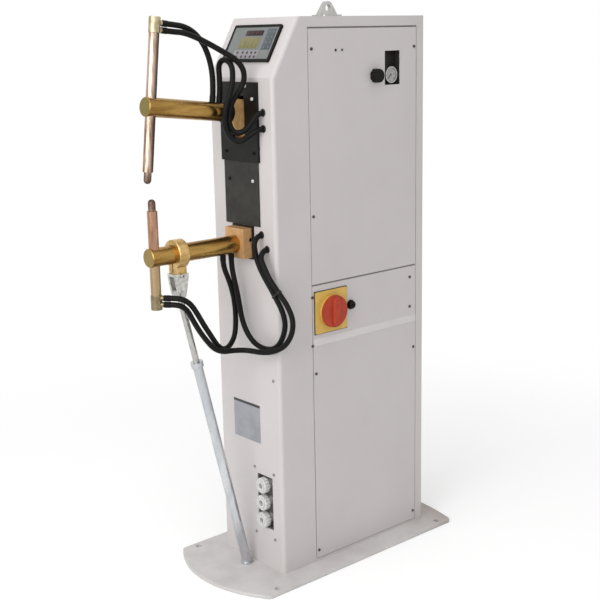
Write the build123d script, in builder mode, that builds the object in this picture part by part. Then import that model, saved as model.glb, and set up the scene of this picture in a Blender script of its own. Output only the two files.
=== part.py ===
"""Rocker arm spot welder: a floor-standing cabinet with a fixed lower arm and a rocking upper arm.

Millimetres, +Z up. The arms point to -Y, the switch side is +X, and the origin is on the floor
under the middle of the cabinet. The rocker is modelled shut, with its arm level, and is then
swung open about its pivot, which is how the machine stands at rest.
"""

import math
import os

from build123d import *

os.makedirs("parts", exist_ok=True)

# Base plate
BASE_THICKNESS = 8.0
BASE_WIDTH = 336.0
BASE_FRONT = 318.0
BASE_REAR = 278.0
FRONT_BOW = 56.0
REAR_BOW = 26.0
BASE_CORNER = 14.0
BASE_EDGE = 1.5
ANCHOR_INSET = 18.0
ANCHOR_END_INSET = 34.0
ANCHOR_HOLE = 14.0

# Cabinet of folded sheet
CABINET_WIDTH = 220.0
CABINET_DEPTH = 460.0
CABINET_HEIGHT = 1250.0
SHEET = 2.0
FOLD = 9.0
SLOPE_SETBACK = 72.0
SLOPE_HEIGHT = 125.0
FRONT_POST = 100.0
REAR_POST = 22.0
TOP_RAIL = 22.0
BOTTOM_RAIL = 5.0
LEDGE = 14.0
LEDGE_LAP = 3.0
SEAM = 2.0
WIDE_SEAM = 3.6
BAND_BOTTOM = 540.0
BAND_HEIGHT = 126.0
REAR_COVER_WIDTH = 170.0
REAR_COVER_RAIL = 60.0
VENT_LENGTH = 110.0
VENT_WIDTH = 6.0
VENT_PITCH = 16.0
VENT_COUNT = 9

# Lifting eye on the roof
EYE_LENGTH = 56.0
EYE_HEIGHT = 30.0
EYE_RADIUS = 15.0
EYE_HOLE = 16.0
EYE_THICKNESS = 10.0
EYE_BEHIND = 28.0
EYE_FOOT = 5.0
EYE_FOOT_WIDTH = 46.0

# Arms and electrodes
ARM_DIAMETER = 40.0
ARM_CHAMFER = 1.5
THROAT = 240.0
ARM_NOSE = 15.0
UPPER_ARM_DROP = 207.0
ARM_SPACING = 278.0
LOWER_REACH = 122.0
TIP_GAP_SHUT = 0.3
TIP_DIAMETER = 16.0
TIP_LENGTH = 24.0
TIP_FACE = 6.0
HOLDER_DIAMETER = 22.0
HOLDER_BORE = 10.0
UPPER_HOLDER_TOP = 148.0
LOWER_HOLDER_BOTTOM = 80.0
HEAD_DIAMETER = 24.0
HEAD_HEIGHT = 32.0
UPPER_PORT_LOW = 6.5
LOWER_PORT_LOW = 11.0
PORT_PITCH = 14.0
PORT_COLLAR = 12.0
PORT_COLLAR_LENGTH = 4.0
NOZZLE_DIAMETER = 10.0
NOZZLE_LENGTH = 16.0
LOWER_PORT_TURN = 40.0
ARM_NOZZLE_HEIGHT = 10.0
ARM_NOZZLE_SEAT = 3.0
ARM_NOZZLE_COLLAR = 4.0
FIXED_FIT = 0.1

# Lower arm clamp block, its insulation and the copper bar behind it
BLOCK_WIDTH = 64.0
BLOCK_HEIGHT = 66.0
BLOCK_RISE = 3.0
BLOCK_AHEAD = 28.0
BLOCK_BEHIND = 55.0
ARM_GRIP = 58.0
CLAMP_SCREW = 10.0
INSULATION = 4.0
BAR_THICKNESS = 16.0
BAR_WIDTH = 50.0

# Clamp collar and strut under the lower arm
COLLAR_AHEAD = 182.0
COLLAR_RADIUS = 31.0
COLLAR_LENGTH = 26.0
COLLAR_LUG = 28.0
COLLAR_DROP = 42.0
COLLAR_SLIT = 3.0
CLEVIS_PLATE = 6.0
CLEVIS_LENGTH = 34.0
CLEVIS_CHEEK = 6.0
CLEVIS_EYE = 10.0
STRUT_PIN = 10.0
STRUT_PIN_HEAD_DIAMETER = 14.0
STRUT_PIN_DROP = 44.0
STRUT_PIN_HEAD = 3.0
ROD_EYE = 17.0
STRUT_ROD = 14.0
ROD_EXPOSED = 165.0
ROD_INSERTED = 80.0
STRUT_TUBE = 22.0
STRUT_RING = 28.0
STRUT_RING_LENGTH = 12.0
STRUT_FOOT_AHEAD = 22.0
FOOT_DIAMETER = 30.0
FOOT_THICKNESS = 3.0

# Rocker and its pivot
OPEN_ANGLE = 6.5
PIVOT_DROP = 68.0
TAIL_RADIUS = 315.0
LUG_THICKNESS = 32.0
LUG_ABOVE = 30.0
LUG_BELOW = 36.0
LUG_LENGTH = 41.0
LUG_ROUND = 20.0
ROCKER_WIDTH = 58.0
ROCKER_LENGTH = 133.0
HUB_RADIUS = 32.0
HUB_CLEARANCE = 3.0
TAIL_END = 17.0
SPIGOT_DIAMETER = 24.0
SPIGOT_DEPTH = 30.0
WASHER_DIAMETER = 46.0
WASHER_THICKNESS = 18.0
PIVOT_PIN = 24.0
BUSH_WALL = 3.0
BUSH_LENGTH = 20.0
RUNNING_FIT = 0.05
CHEEK = 10.0
CHEEK_GAP = 2.0
BRACKET_PLATE = 8.0
BRACKET_WIDTH = 124.0
BRACKET_BELOW = 58.0
BRACKET_ABOVE = 140.0
WINDOW_WIDTH = 66.0
WINDOW_BELOW = 46.0
WINDOW_ABOVE = 44.0

# Air cylinder behind the pivot
CYLINDER_DIAMETER = 80.0
CYLINDER_WALL = 4.5
CYLINDER_BORE = 63.0
CYLINDER_CORNER = 8.0
STROKE_SPARE = 8.0
CYLINDER_CAP = 16.0
PISTON_THICKNESS = 16.0
ROD_DIAMETER = 20.0
ROD_PIN = 14.0
ROD_PIN_PLAY = 0.3
ROD_SLOT = 24.0
FORK_CHEEK = 9.0
FORK_GAP = 0.8
FORK_DEPTH = 20.0
FORK_CLEARANCE = 8.0
SHELF_THICKNESS = 6.0
VALVE_LENGTH = 70.0
VALVE_WIDTH = 26.0
VALVE_HEIGHT = 48.0
VALVE_COIL_WIDTH = 22.0
VALVE_COIL_CORNER = 3.0
VALVE_COIL_BEHIND = 14.0

# Transformer, flexible band and thyristor module
TRANSFORMER_BEHIND = 105.0
CORE_LENGTH = 170.0
CORE_HEIGHT = 216.0
CORE_STACK = 80.0
CORE_LEG = 44.0
COIL_WIDTH = 150.0
COIL_CLEARANCE = 2.0
TERMINAL_RISE = 23.0
TERMINAL_WIDTH = 24.0
TERMINAL_LENGTH = 40.0
BAND_STRAP_WIDTH = 40.0
BAND_STRAP_THICKNESS = 6.0
BAND_STRAP_BEND = 40.0
MODULE_LENGTH = 150.0
MODULE_WIDTH = 120.0
MODULE_HEIGHT = 90.0
MODULE_FIN = 4.0
MODULE_FINS = 7

# Shields on the front
UPPER_SHIELD_WIDTH = 128.0
UPPER_SHIELD_BELOW = 97.0
UPPER_SHIELD_ABOVE = 73.0
UPPER_SHIELD_THICKNESS = 6.0
SHIELD_WINDOW_WIDTH = 42.0
LOWER_SHIELD_WIDTH = 118.0
LOWER_SHIELD_THICKNESS = 3.0
SHIELD_GAP = 1.0

# Control unit on the slope
CONTROL_WIDTH = 160.0
CONTROL_HEIGHT = 88.0
CONTROL_DOWN = 20.0
CONTROL_RIM = 6.0
CONTROL_PROUD = 5.0
CONTROL_DEPTH = 40.0
CONTROL_CORNER = 4.0
MEMBRANE_THICKNESS = 1.6
MEMBRANE_GAP = 0.2
MEMBRANE_SINK = 0.6

# Connection panel low on the front
TRAY_WIDTH = 54.0
TRAY_HEIGHT = 128.0
TRAY_ACROSS = 49.0
TRAY_CENTRE = 162.0
TRAY_DEPTH = 14.0
TRAY_WALL = 2.0
TRAY_LIP = 6.0
COUPLING_DIAMETER = 37.0
COUPLING_NOTCH = 3.6
COUPLING_NOTCHES = 14
COUPLING_PROUD = 14.0
COUPLING_PITCH = 42.0
COUPLING_RING = 12.0
COUPLING_NOSE = 2.0
COUPLING_NECK = 22.0
COUPLING_BORE = 13.0
COUPLING_BORE_DEPTH = 22.0

# Main switch and fuse on the switch panel
SWITCH_BEHIND = 156.0
SWITCH_RISE = 61.0
SWITCH_PLATE = 97.0
SWITCH_PLATE_THICKNESS = 3.0
SWITCH_COLLAR = 70.0
SWITCH_COLLAR_HEIGHT = 8.0
SWITCH_KNOB = 75.0
SWITCH_KNOB_DISC = 6.0
SWITCH_KNOB_TAPER = 8.0
SWITCH_GRIP = 20.0
SWITCH_GRIP_LENGTH = 66.0
SWITCH_GRIP_TAPER = 5.0
SWITCH_GRIP_EDGE = 2.5
SWITCH_GRIP_HEIGHT = 7.0
SWITCH_SHAFT = 10.0
SWITCH_SHAFT_DEPTH = 24.0
SWITCH_BODY = 62.0
SWITCH_BODY_DEPTH = 55.0
KNOB_GAP = 0.5
SHAFT_END_GAP = 0.5
FUSE_BEHIND = 218.0
FUSE_RISE = 64.0
FUSE_DIAMETER = 22.0
FUSE_FLANGE = 3.0
FUSE_NECK = 16.0
FUSE_BODY_DEPTH = 40.0
FUSE_CAP = 18.0
FUSE_CAP_HEIGHT = 6.0
FUSE_CAP_EDGE = 1.5
FUSE_STEM = 9.0
FUSE_STEM_DEPTH = 20.0
FUSE_SLOT = 2.5
FUSE_SLOT_LENGTH = 12.0

# Air regulator and gauge on the upper cover
REGULATOR_BEHIND = 302.0
REGULATOR_DROP = 131.0
REGULATOR_KNOB = 32.0
REGULATOR_KNOB_HEIGHT = 16.0
REGULATOR_KNOB_TAPER = 3.0
REGULATOR_KNOB_EDGE = 2.5
KNOB_FLUTE = 8.0
KNOB_FLUTE_DEPTH = 1.6
KNOB_FLUTES = 8
REGULATOR_STEM = 12.0
REGULATOR_STEM_DEPTH = 16.0
REGULATOR_BODY = 42.0
REGULATOR_BODY_DEPTH = 50.0
WELL_WALL = 4.0
GAUGE_WINDOW_BEHIND = 358.0
GAUGE_WINDOW_WIDTH = 49.0
GAUGE_WINDOW_HEIGHT = 76.0
GAUGE_WINDOW_RISE = 16.0
GAUGE_DIAMETER = 37.0
GAUGE_BEZEL = 2.0
GAUGE_SINK = 1.0
GAUGE_DEPTH = 18.0
DIAL_SINK = 3.5
NEEDLE_LENGTH = 13.0
NEEDLE_WIDTH = 2.0
NEEDLE_THICKNESS = 1.0
NEEDLE_CLEAR = 0.5
NEEDLE_HUB = 5.4
NEEDLE_ZERO = -135.0
NEEDLE_SHAFT = 3.0
NEEDLE_SHAFT_DEPTH = 4.0
LAMP_HOLE = 6.0
LAMP_BEHIND = 182.0
LAMP_PITCH = 19.0
LAMP_DROP = 72.0

# Mains inlet on the rear cover
GLAND_DIAMETER = 32.0
GLAND_BORE = 16.0
GLAND_LENGTH = 30.0
GLAND_HEX_LENGTH = 10.0
GLAND_NECK = 25.0
GLAND_DOME = 3.0
GLAND_HEIGHT = 150.0

# Water hoses
HOSE_DIAMETER = 12.0
HOSE_HOLE_PLAY = 0.6
HOSE_INSIDE = 4.0
HOSE_LEAD = 16.0
ENTRY_STRAIGHT = 6.0
ENTRY_RUN = 13.0
UPPER_ENTRY_X = 78.0
UPPER_ENTRY_RISES = (10.0, -24.0)
LOWER_ENTRY_XS = (80.0, 62.0)
LOWER_ENTRY_RISES = (-6.0, 24.0)
UPPER_NOZZLES = (85.0, 67.0)
LOWER_NOZZLES = (61.0, 38.0)

# Places worked out from the sizes above
BASE_TOP = BASE_THICKNESS
ROOF = BASE_TOP + CABINET_HEIGHT
SIDE = CABINET_WIDTH / 2
FRONT = -CABINET_DEPTH / 2
REAR = CABINET_DEPTH / 2
SLOPE_TOP_Y = FRONT + SLOPE_SETBACK
SLOPE_BOTTOM_Z = ROOF - SLOPE_HEIGHT
COVER_FRONT = FRONT + FRONT_POST
COVER_REAR = REAR - REAR_POST
COVER_BOTTOM = BASE_TOP + BOTTOM_RAIL
COVER_TOP = ROOF - TOP_RAIL
BAND_LOW = BASE_TOP + BAND_BOTTOM
BAND_HIGH = BAND_LOW + BAND_HEIGHT
INSIDE_X = SIDE - 2 * SHEET
INSIDE_REAR = REAR - 2 * SHEET
ELECTRODE_Y = FRONT - THROAT
ARM_END_Y = ELECTRODE_Y - ARM_NOSE
UPPER_ARM_Z = ROOF - UPPER_ARM_DROP
LOWER_ARM_Z = UPPER_ARM_Z - ARM_SPACING
CONTACT_Z = LOWER_ARM_Z + LOWER_REACH
PIVOT_Y = FRONT + SHEET + BRACKET_PLATE + HUB_CLEARANCE + HUB_RADIUS
PIVOT_Z = UPPER_ARM_Z - PIVOT_DROP
PIVOT_AXIS = Axis((0, PIVOT_Y, PIVOT_Z), (1, 0, 0))
ROCKER_FRONT = FRONT + SHEET
LUG_FRONT = ROCKER_FRONT - LUG_LENGTH
UPPER_ARM_ROOT = LUG_FRONT - WASHER_THICKNESS
CYLINDER_Y = PIVOT_Y + TAIL_RADIUS
SLOPE_PLANE = Plane(
    origin=(0, SLOPE_TOP_Y, ROOF),
    x_dir=(1, 0, 0),
    z_dir=(0, -SLOPE_HEIGHT, SLOPE_SETBACK),
)


def front_plane(y: float) -> Plane:
    """A plane across the machine at y, facing the front."""
    return Plane.XZ.offset(-y)


def rear_plane(y: float) -> Plane:
    """A plane across the machine at y, facing the rear, with +X to its left."""
    return Plane(origin=(0, y, 0), x_dir=(-1, 0, 0), z_dir=(0, 1, 0))


def side_plane(x: float) -> Plane:
    """A plane along the machine at x, facing the switch side."""
    return Plane.YZ.offset(x)


def level(z: float) -> Plane:
    """A level plane at height z."""
    return Plane.XY.offset(z)


def rectangle(low_u: float, high_u: float, low_v: float, high_v: float) -> None:
    """Adds a rectangle with these edges to the open sketch."""
    with Locations(((low_u + high_u) / 2, (low_v + high_v) / 2)):
        Rectangle(high_u - low_u, high_v - low_v)


def save(part: Part, name: str) -> None:
    """Labels a finished piece and writes it to its own file."""
    part.label = name
    export_step(part, f"parts/{name}.step")


def swung_open(part: Part) -> Part:
    """Turns a piece of the rocker from its shut place to where it stands open."""
    return part.rotate(PIVOT_AXIS, -OPEN_ANGLE)


def open_point(y: float, z: float) -> Vector:
    """Where a point of the shut rocker, in the middle plane, stands when the rocker is open."""
    return Vertex(0, y, z).rotate(PIVOT_AXIS, -OPEN_ANGLE).center()


# Base plate with a bowed front and rear edge and four anchor holes
with BuildPart() as base_plate:
    half = BASE_WIDTH / 2
    with BuildSketch() as base_outline:
        with BuildLine():
            Line((-half, BASE_REAR), (-half, -BASE_FRONT))
            ThreePointArc((-half, -BASE_FRONT), (0, -BASE_FRONT - FRONT_BOW), (half, -BASE_FRONT))
            Line((half, -BASE_FRONT), (half, BASE_REAR))
            ThreePointArc((half, BASE_REAR), (0, BASE_REAR + REAR_BOW), (-half, BASE_REAR))
        make_face()
        fillet(base_outline.vertices(), BASE_CORNER)
    extrude(amount=BASE_THICKNESS)
    fillet(base_plate.faces().sort_by(Axis.Z)[-1].edges(), BASE_EDGE)
    anchor_ys = (-BASE_FRONT + ANCHOR_END_INSET, BASE_REAR - ANCHOR_END_INSET)
    anchor_xs = (ANCHOR_INSET - half, half - ANCHOR_INSET)
    with Locations(*[(x, y, BASE_TOP) for x in anchor_xs for y in anchor_ys]):
        Hole(ANCHOR_HOLE / 2)
save(base_plate.part, "base_plate")


def cabinet_block(bottom: float, half_width: float, inset: float, radius: float) -> Part:
    """A solid of the cabinet's outline, inset all round, with its front folds rounded."""
    with BuildPart() as block:
        with BuildSketch(Plane.YZ):
            with BuildLine():
                Polyline(
                    (FRONT, bottom),
                    (REAR, bottom),
                    (REAR, ROOF),
                    (SLOPE_TOP_Y, ROOF),
                    (FRONT, SLOPE_BOTTOM_Z),
                    close=True,
                )
            make_face()
            if inset:
                offset(amount=-inset, kind=Kind.INTERSECTION, mode=Mode.REPLACE)
        extrude(amount=half_width, both=True)
        facing = block.faces().sort_by(Axis.Y)[:2]
        folds = facing.edges().filter_by(lambda edge: abs(edge.center().X) > half_width - 1)
        fillet(folds, radius)
    return block.part


def ledge(plane: Plane, low_u: float, high_u: float, low_v: float, high_v: float) -> None:
    """Adds the ledge behind an opening, on which a cover lies, to the open part."""
    with BuildSketch(plane) as frame:
        rectangle(low_u - LEDGE_LAP, high_u + LEDGE_LAP, low_v - LEDGE_LAP, high_v + LEDGE_LAP)
        with Locations(((low_u + high_u) / 2, (low_v + high_v) / 2)):
            Rectangle(high_u - low_u - 2 * LEDGE, high_v - low_v - 2 * LEDGE, mode=Mode.SUBTRACT)
    extrude(frame.sketch, amount=SHEET)


# Cabinet shell: folded front with a sloped head, roof, sides and rear, open where covers go
rear_half = REAR_COVER_WIDTH / 2
rear_low = BASE_TOP + REAR_COVER_RAIL
rear_high = ROOF - REAR_COVER_RAIL
window_low = UPPER_ARM_Z - WINDOW_BELOW
window_high = UPPER_ARM_Z + WINDOW_ABOVE
block_middle = LOWER_ARM_Z + BLOCK_RISE
tray_middle = BASE_TOP + TRAY_CENTRE
control_middle = -CONTROL_DOWN - CONTROL_HEIGHT / 2
upper_entries = [(UPPER_ENTRY_X, UPPER_ARM_Z + rise) for rise in UPPER_ENTRY_RISES]
lower_entries = [(x, LOWER_ARM_Z + rise) for x, rise in zip(LOWER_ENTRY_XS, LOWER_ENTRY_RISES)]
outside = cabinet_block(BASE_TOP, SIDE, 0, FOLD)
hollow = cabinet_block(BASE_TOP - 2 * SHEET, SIDE - SHEET, SHEET, FOLD - SHEET)
with BuildPart() as cabinet_shell:
    add(outside)
    add(hollow, mode=Mode.SUBTRACT)
    for inner_x in (SIDE - 2 * SHEET, -SIDE + SHEET):
        ledge(side_plane(inner_x), COVER_FRONT, COVER_REAR, COVER_BOTTOM, COVER_TOP)
    for bar_z in (BAND_LOW, BAND_HIGH):
        with BuildSketch(side_plane(SIDE - 2 * SHEET)):
            rectangle(COVER_FRONT, COVER_REAR, bar_z - LEDGE, bar_z + LEDGE)
        extrude(amount=SHEET)
    ledge(rear_plane(REAR - 2 * SHEET), -rear_half, rear_half, rear_low, rear_high)
    for outer_x in (SIDE - SHEET, -SIDE):
        with BuildSketch(side_plane(outer_x)):
            rectangle(COVER_FRONT, COVER_REAR, COVER_BOTTOM, COVER_TOP)
        extrude(amount=SHEET, mode=Mode.SUBTRACT)
    with BuildSketch(rear_plane(REAR - SHEET)):
        rectangle(-rear_half, rear_half, rear_low, rear_high)
    extrude(amount=SHEET, mode=Mode.SUBTRACT)
    with BuildSketch(front_plane(FRONT + SHEET)):
        rectangle(-WINDOW_WIDTH / 2, WINDOW_WIDTH / 2, window_low, window_high)
        with Locations((0, block_middle)):
            Rectangle(BLOCK_WIDTH + 2 * INSULATION, BLOCK_HEIGHT + 2 * INSULATION)
        with Locations((TRAY_ACROSS, tray_middle)):
            Rectangle(TRAY_WIDTH, TRAY_HEIGHT)
        with Locations(*upper_entries, *lower_entries):
            Circle((HOSE_DIAMETER + HOSE_HOLE_PLAY) / 2)
    extrude(amount=SHEET, mode=Mode.SUBTRACT)
    with BuildSketch(SLOPE_PLANE.offset(-SHEET)):
        with Locations((0, control_middle)):
            Rectangle(CONTROL_WIDTH - 2 * CONTROL_RIM, CONTROL_HEIGHT - 2 * CONTROL_RIM)
    extrude(amount=SHEET, mode=Mode.SUBTRACT)
save(cabinet_shell.part, "cabinet_shell")

# Side covers, flush with the shell
switch_y = FRONT + SWITCH_BEHIND
switch_z = BAND_LOW + SWITCH_RISE
fuse_y = FRONT + FUSE_BEHIND
fuse_z = BAND_LOW + FUSE_RISE
regulator_y = FRONT + REGULATOR_BEHIND
regulator_z = ROOF - REGULATOR_DROP
gauge_y = FRONT + GAUGE_WINDOW_BEHIND
gauge_z = regulator_z
window_z = regulator_z + GAUGE_WINDOW_RISE
lamp_z = ROOF - LAMP_DROP
with BuildPart() as right_upper_cover:
    with BuildSketch(side_plane(SIDE - SHEET)):
        low_z = BAND_HIGH + WIDE_SEAM / 2
        rectangle(COVER_FRONT + SEAM, COVER_REAR - SEAM, low_z, COVER_TOP - WIDE_SEAM)
        with Locations((gauge_y, window_z)):
            Rectangle(GAUGE_WINDOW_WIDTH, GAUGE_WINDOW_HEIGHT, mode=Mode.SUBTRACT)
        with Locations((regulator_y, regulator_z)):
            Circle(REGULATOR_STEM / 2 + RUNNING_FIT, mode=Mode.SUBTRACT)
        with Locations(*[(FRONT + LAMP_BEHIND + shift, lamp_z) for shift in (0, LAMP_PITCH)]):
            Circle(LAMP_HOLE / 2, mode=Mode.SUBTRACT)
    extrude(amount=SHEET)
save(right_upper_cover.part, "right_upper_cover")

with BuildPart() as switch_panel:
    with BuildSketch(side_plane(SIDE - SHEET)):
        high_z = BAND_HIGH - WIDE_SEAM / 2
        rectangle(COVER_FRONT + SEAM, COVER_REAR - SEAM, BAND_LOW + SEAM / 2, high_z)
        with Locations((switch_y, switch_z)):
            Circle(SWITCH_SHAFT / 2 + RUNNING_FIT, mode=Mode.SUBTRACT)
        with Locations((fuse_y, fuse_z)):
            Circle(FUSE_NECK / 2 + FIXED_FIT, mode=Mode.SUBTRACT)
    extrude(amount=SHEET)
save(switch_panel.part, "switch_panel")

with BuildPart() as right_lower_cover:
    with BuildSketch(side_plane(SIDE - SHEET)):
        rectangle(COVER_FRONT + SEAM, COVER_REAR - SEAM, COVER_BOTTOM + SEAM, BAND_LOW - SEAM / 2)
    extrude(amount=SHEET)
save(right_lower_cover.part, "right_lower_cover")

with BuildPart() as left_cover:
    with BuildSketch(side_plane(-SIDE)):
        rectangle(COVER_FRONT + SEAM, COVER_REAR - SEAM, COVER_BOTTOM + SEAM, COVER_TOP - SEAM)
    extrude(amount=SHEET)
save(left_cover.part, "left_cover")

# Rear cover with two groups of vents and the hole of the mains inlet
gland_z = BASE_TOP + GLAND_HEIGHT
with BuildPart() as rear_cover:
    with BuildSketch(rear_plane(REAR - SHEET)):
        rectangle(-rear_half + SEAM, rear_half - SEAM, rear_low + SEAM, rear_high - SEAM)
        for vent_z in ((3 * rear_low + rear_high) / 4, (rear_low + 3 * rear_high) / 4):
            with Locations((0, vent_z)):
                with GridLocations(VENT_LENGTH, VENT_PITCH, 1, VENT_COUNT):
                    SlotOverall(VENT_LENGTH, VENT_WIDTH, mode=Mode.SUBTRACT)
        with Locations((0, gland_z)):
            Circle(GLAND_NECK / 2 + FIXED_FIT, mode=Mode.SUBTRACT)
    extrude(amount=SHEET)
save(rear_cover.part, "rear_cover")

# Mains inlet: a gland with a hexagon and a domed nut, open for the cable
with BuildPart() as mains_gland:
    with BuildSketch(rear_plane(REAR - 2 * SHEET)):
        with Locations((0, gland_z)):
            Circle(GLAND_NECK / 2)
    extrude(amount=2 * SHEET)
    with BuildSketch(rear_plane(REAR)):
        with Locations((0, gland_z)):
            RegularPolygon(GLAND_DIAMETER / 2, 6, major_radius=False)
    extrude(amount=GLAND_HEX_LENGTH)
    with BuildSketch(rear_plane(REAR)):
        with Locations((0, gland_z)):
            Circle(GLAND_NECK / 2)
    extrude(amount=GLAND_LENGTH)
    fillet(mains_gland.faces().sort_by(Axis.Y)[-1].edges(), GLAND_DOME)
    with BuildSketch(rear_plane(REAR - 2 * SHEET)):
        with Locations((0, gland_z)):
            Circle(GLAND_BORE / 2)
    extrude(amount=GLAND_LENGTH + 2 * SHEET, mode=Mode.SUBTRACT)
save(mains_gland.part, "mains_gland")

# Lifting eye: a rounded plate on a foot
with BuildPart() as lifting_eye:
    with BuildSketch(side_plane(-EYE_THICKNESS / 2)):
        with Locations((EYE_BEHIND, ROOF + EYE_FOOT + EYE_HEIGHT - EYE_RADIUS)):
            Circle(EYE_RADIUS)
        with Locations((EYE_BEHIND, ROOF + EYE_FOOT)):
            Rectangle(EYE_LENGTH, 1, align=(Align.CENTER, Align.MIN))
        make_hull()
        with Locations((EYE_BEHIND, ROOF + EYE_FOOT + EYE_HEIGHT - EYE_RADIUS)):
            Circle(EYE_HOLE / 2, mode=Mode.SUBTRACT)
    extrude(amount=EYE_THICKNESS)
    with BuildSketch(level(ROOF)):
        with Locations((0, EYE_BEHIND)):
            RectangleRounded(EYE_FOOT_WIDTH, EYE_LENGTH, EYE_FOOT)
    extrude(amount=EYE_FOOT)
save(lifting_eye.part, "lifting_eye")

# Black shields: a fixed lower sheet and a thicker upper sheet with the rocker's window
shield_low = block_middle + BLOCK_HEIGHT / 2 + INSULATION + SHIELD_GAP
upper_low = UPPER_ARM_Z - UPPER_SHIELD_BELOW
with BuildPart() as lower_shield:
    with BuildSketch(front_plane(FRONT)):
        half = LOWER_SHIELD_WIDTH / 2
        rectangle(-half, half, shield_low, upper_low - SHIELD_GAP)
    extrude(amount=LOWER_SHIELD_THICKNESS)
save(lower_shield.part, "lower_shield")

with BuildPart() as upper_shield:
    with BuildSketch(front_plane(FRONT)):
        half = UPPER_SHIELD_WIDTH / 2
        rectangle(-half, half, upper_low, UPPER_ARM_Z + UPPER_SHIELD_ABOVE)
        with Locations((0, (window_low + window_high) / 2)):
            Rectangle(SHIELD_WINDOW_WIDTH, window_high - window_low, mode=Mode.SUBTRACT)
    extrude(amount=UPPER_SHIELD_THICKNESS)
save(upper_shield.part, "upper_shield")

# Control unit: a rimmed bezel with its housing behind the slope, and the keypad in the bezel
with BuildPart() as control_bezel:
    with BuildSketch(SLOPE_PLANE):
        with Locations((0, control_middle)):
            RectangleRounded(CONTROL_WIDTH, CONTROL_HEIGHT, CONTROL_CORNER)
    extrude(amount=CONTROL_PROUD)
    with BuildSketch(SLOPE_PLANE):
        with Locations((0, control_middle)):
            inner = (CONTROL_WIDTH - 2 * CONTROL_RIM, CONTROL_HEIGHT - 2 * CONTROL_RIM)
            Rectangle(inner[0] - 2 * FIXED_FIT, inner[1] - 2 * FIXED_FIT)
    extrude(amount=-CONTROL_DEPTH)
    with BuildSketch(SLOPE_PLANE.offset(CONTROL_PROUD)):
        with Locations((0, control_middle)):
            Rectangle(*inner)
    extrude(amount=-MEMBRANE_THICKNESS - MEMBRANE_SINK, mode=Mode.SUBTRACT)
save(control_bezel.part, "control_bezel")

with BuildPart() as control_membrane:
    with BuildSketch(SLOPE_PLANE.offset(CONTROL_PROUD - MEMBRANE_SINK)):
        with Locations((0, control_middle)):
            Rectangle(inner[0] - 2 * MEMBRANE_GAP, inner[1] - 2 * MEMBRANE_GAP)
    extrude(amount=-MEMBRANE_THICKNESS)
save(control_membrane.part, "control_membrane")

# Connection panel: a tray let into the front, with three couplings for water and air
tray_back = FRONT + SHEET + TRAY_DEPTH
with BuildPart() as connection_tray:
    with BuildSketch(front_plane(tray_back + TRAY_WALL)):
        with Locations((TRAY_ACROSS, tray_middle)):
            Rectangle(TRAY_WIDTH, TRAY_HEIGHT)
    extrude(amount=TRAY_DEPTH + TRAY_WALL)
    with BuildSketch(front_plane(FRONT + SHEET + TRAY_WALL)):
        with Locations((TRAY_ACROSS, tray_middle)):
            Rectangle(TRAY_WIDTH + 2 * TRAY_LIP, TRAY_HEIGHT + 2 * TRAY_LIP)
    extrude(amount=TRAY_WALL)
    with BuildSketch(front_plane(tray_back)):
        with Locations((TRAY_ACROSS, tray_middle)):
            Rectangle(TRAY_WIDTH - 2 * TRAY_WALL, TRAY_HEIGHT - 2 * TRAY_WALL)
    extrude(amount=TRAY_DEPTH, mode=Mode.SUBTRACT)
save(connection_tray.part, "connection_tray")

with BuildPart() as hose_couplings:
    length = tray_back - FRONT + COUPLING_PROUD
    for step in (-1, 0, 1):
        with BuildSketch(front_plane(tray_back)):
            with Locations((TRAY_ACROSS, tray_middle + step * COUPLING_PITCH)):
                Circle(COUPLING_NECK / 2)
        extrude(amount=length)
        with BuildSketch(front_plane(FRONT - COUPLING_PROUD + COUPLING_NOSE + COUPLING_RING)):
            with Locations((TRAY_ACROSS, tray_middle + step * COUPLING_PITCH)):
                Circle(COUPLING_DIAMETER / 2)
                with PolarLocations(COUPLING_DIAMETER / 2, COUPLING_NOTCHES):
                    Circle(COUPLING_NOTCH / 2, mode=Mode.SUBTRACT)
        extrude(amount=COUPLING_RING)
        with BuildSketch(front_plane(FRONT - COUPLING_PROUD + COUPLING_BORE_DEPTH)):
            with Locations((TRAY_ACROSS, tray_middle + step * COUPLING_PITCH)):
                Circle(COUPLING_BORE / 2)
        extrude(amount=COUPLING_BORE_DEPTH, mode=Mode.SUBTRACT)
save(hose_couplings.part, "hose_couplings")

# Lower arm block: copper clamp through an insulating frame, with the bar to the transformer
terminal_y = TRANSFORMER_BEHIND
bar_left = -BAR_WIDTH - BLOCK_WIDTH / 2 + TERMINAL_WIDTH / 2
with BuildPart() as lower_arm_block:
    with BuildSketch(front_plane(FRONT + BLOCK_BEHIND)):
        with Locations((0, block_middle)):
            Rectangle(BLOCK_WIDTH, BLOCK_HEIGHT)
    extrude(amount=BLOCK_AHEAD + BLOCK_BEHIND)
    with BuildSketch(level(LOWER_ARM_Z - BAR_THICKNESS / 2)):
        low_y = FRONT + BLOCK_BEHIND - BAR_THICKNESS
        rectangle(bar_left, bar_left + BAR_WIDTH, low_y, terminal_y + TERMINAL_LENGTH / 2)
    extrude(amount=BAR_THICKNESS)
    with BuildSketch(front_plane(FRONT - BLOCK_AHEAD + ARM_GRIP)):
        with Locations((0, LOWER_ARM_Z)):
            Circle(ARM_DIAMETER / 2 + FIXED_FIT)
    extrude(amount=ARM_GRIP, mode=Mode.SUBTRACT)
    with BuildSketch(side_plane(BLOCK_WIDTH / 2)):
        with Locations((FRONT - BLOCK_AHEAD / 4, LOWER_ARM_Z + ARM_DIAMETER / 4)):
            Circle(CLAMP_SCREW / 2)
    extrude(amount=-CLAMP_SCREW, mode=Mode.SUBTRACT)
save(lower_arm_block.part, "lower_arm_block")

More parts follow.
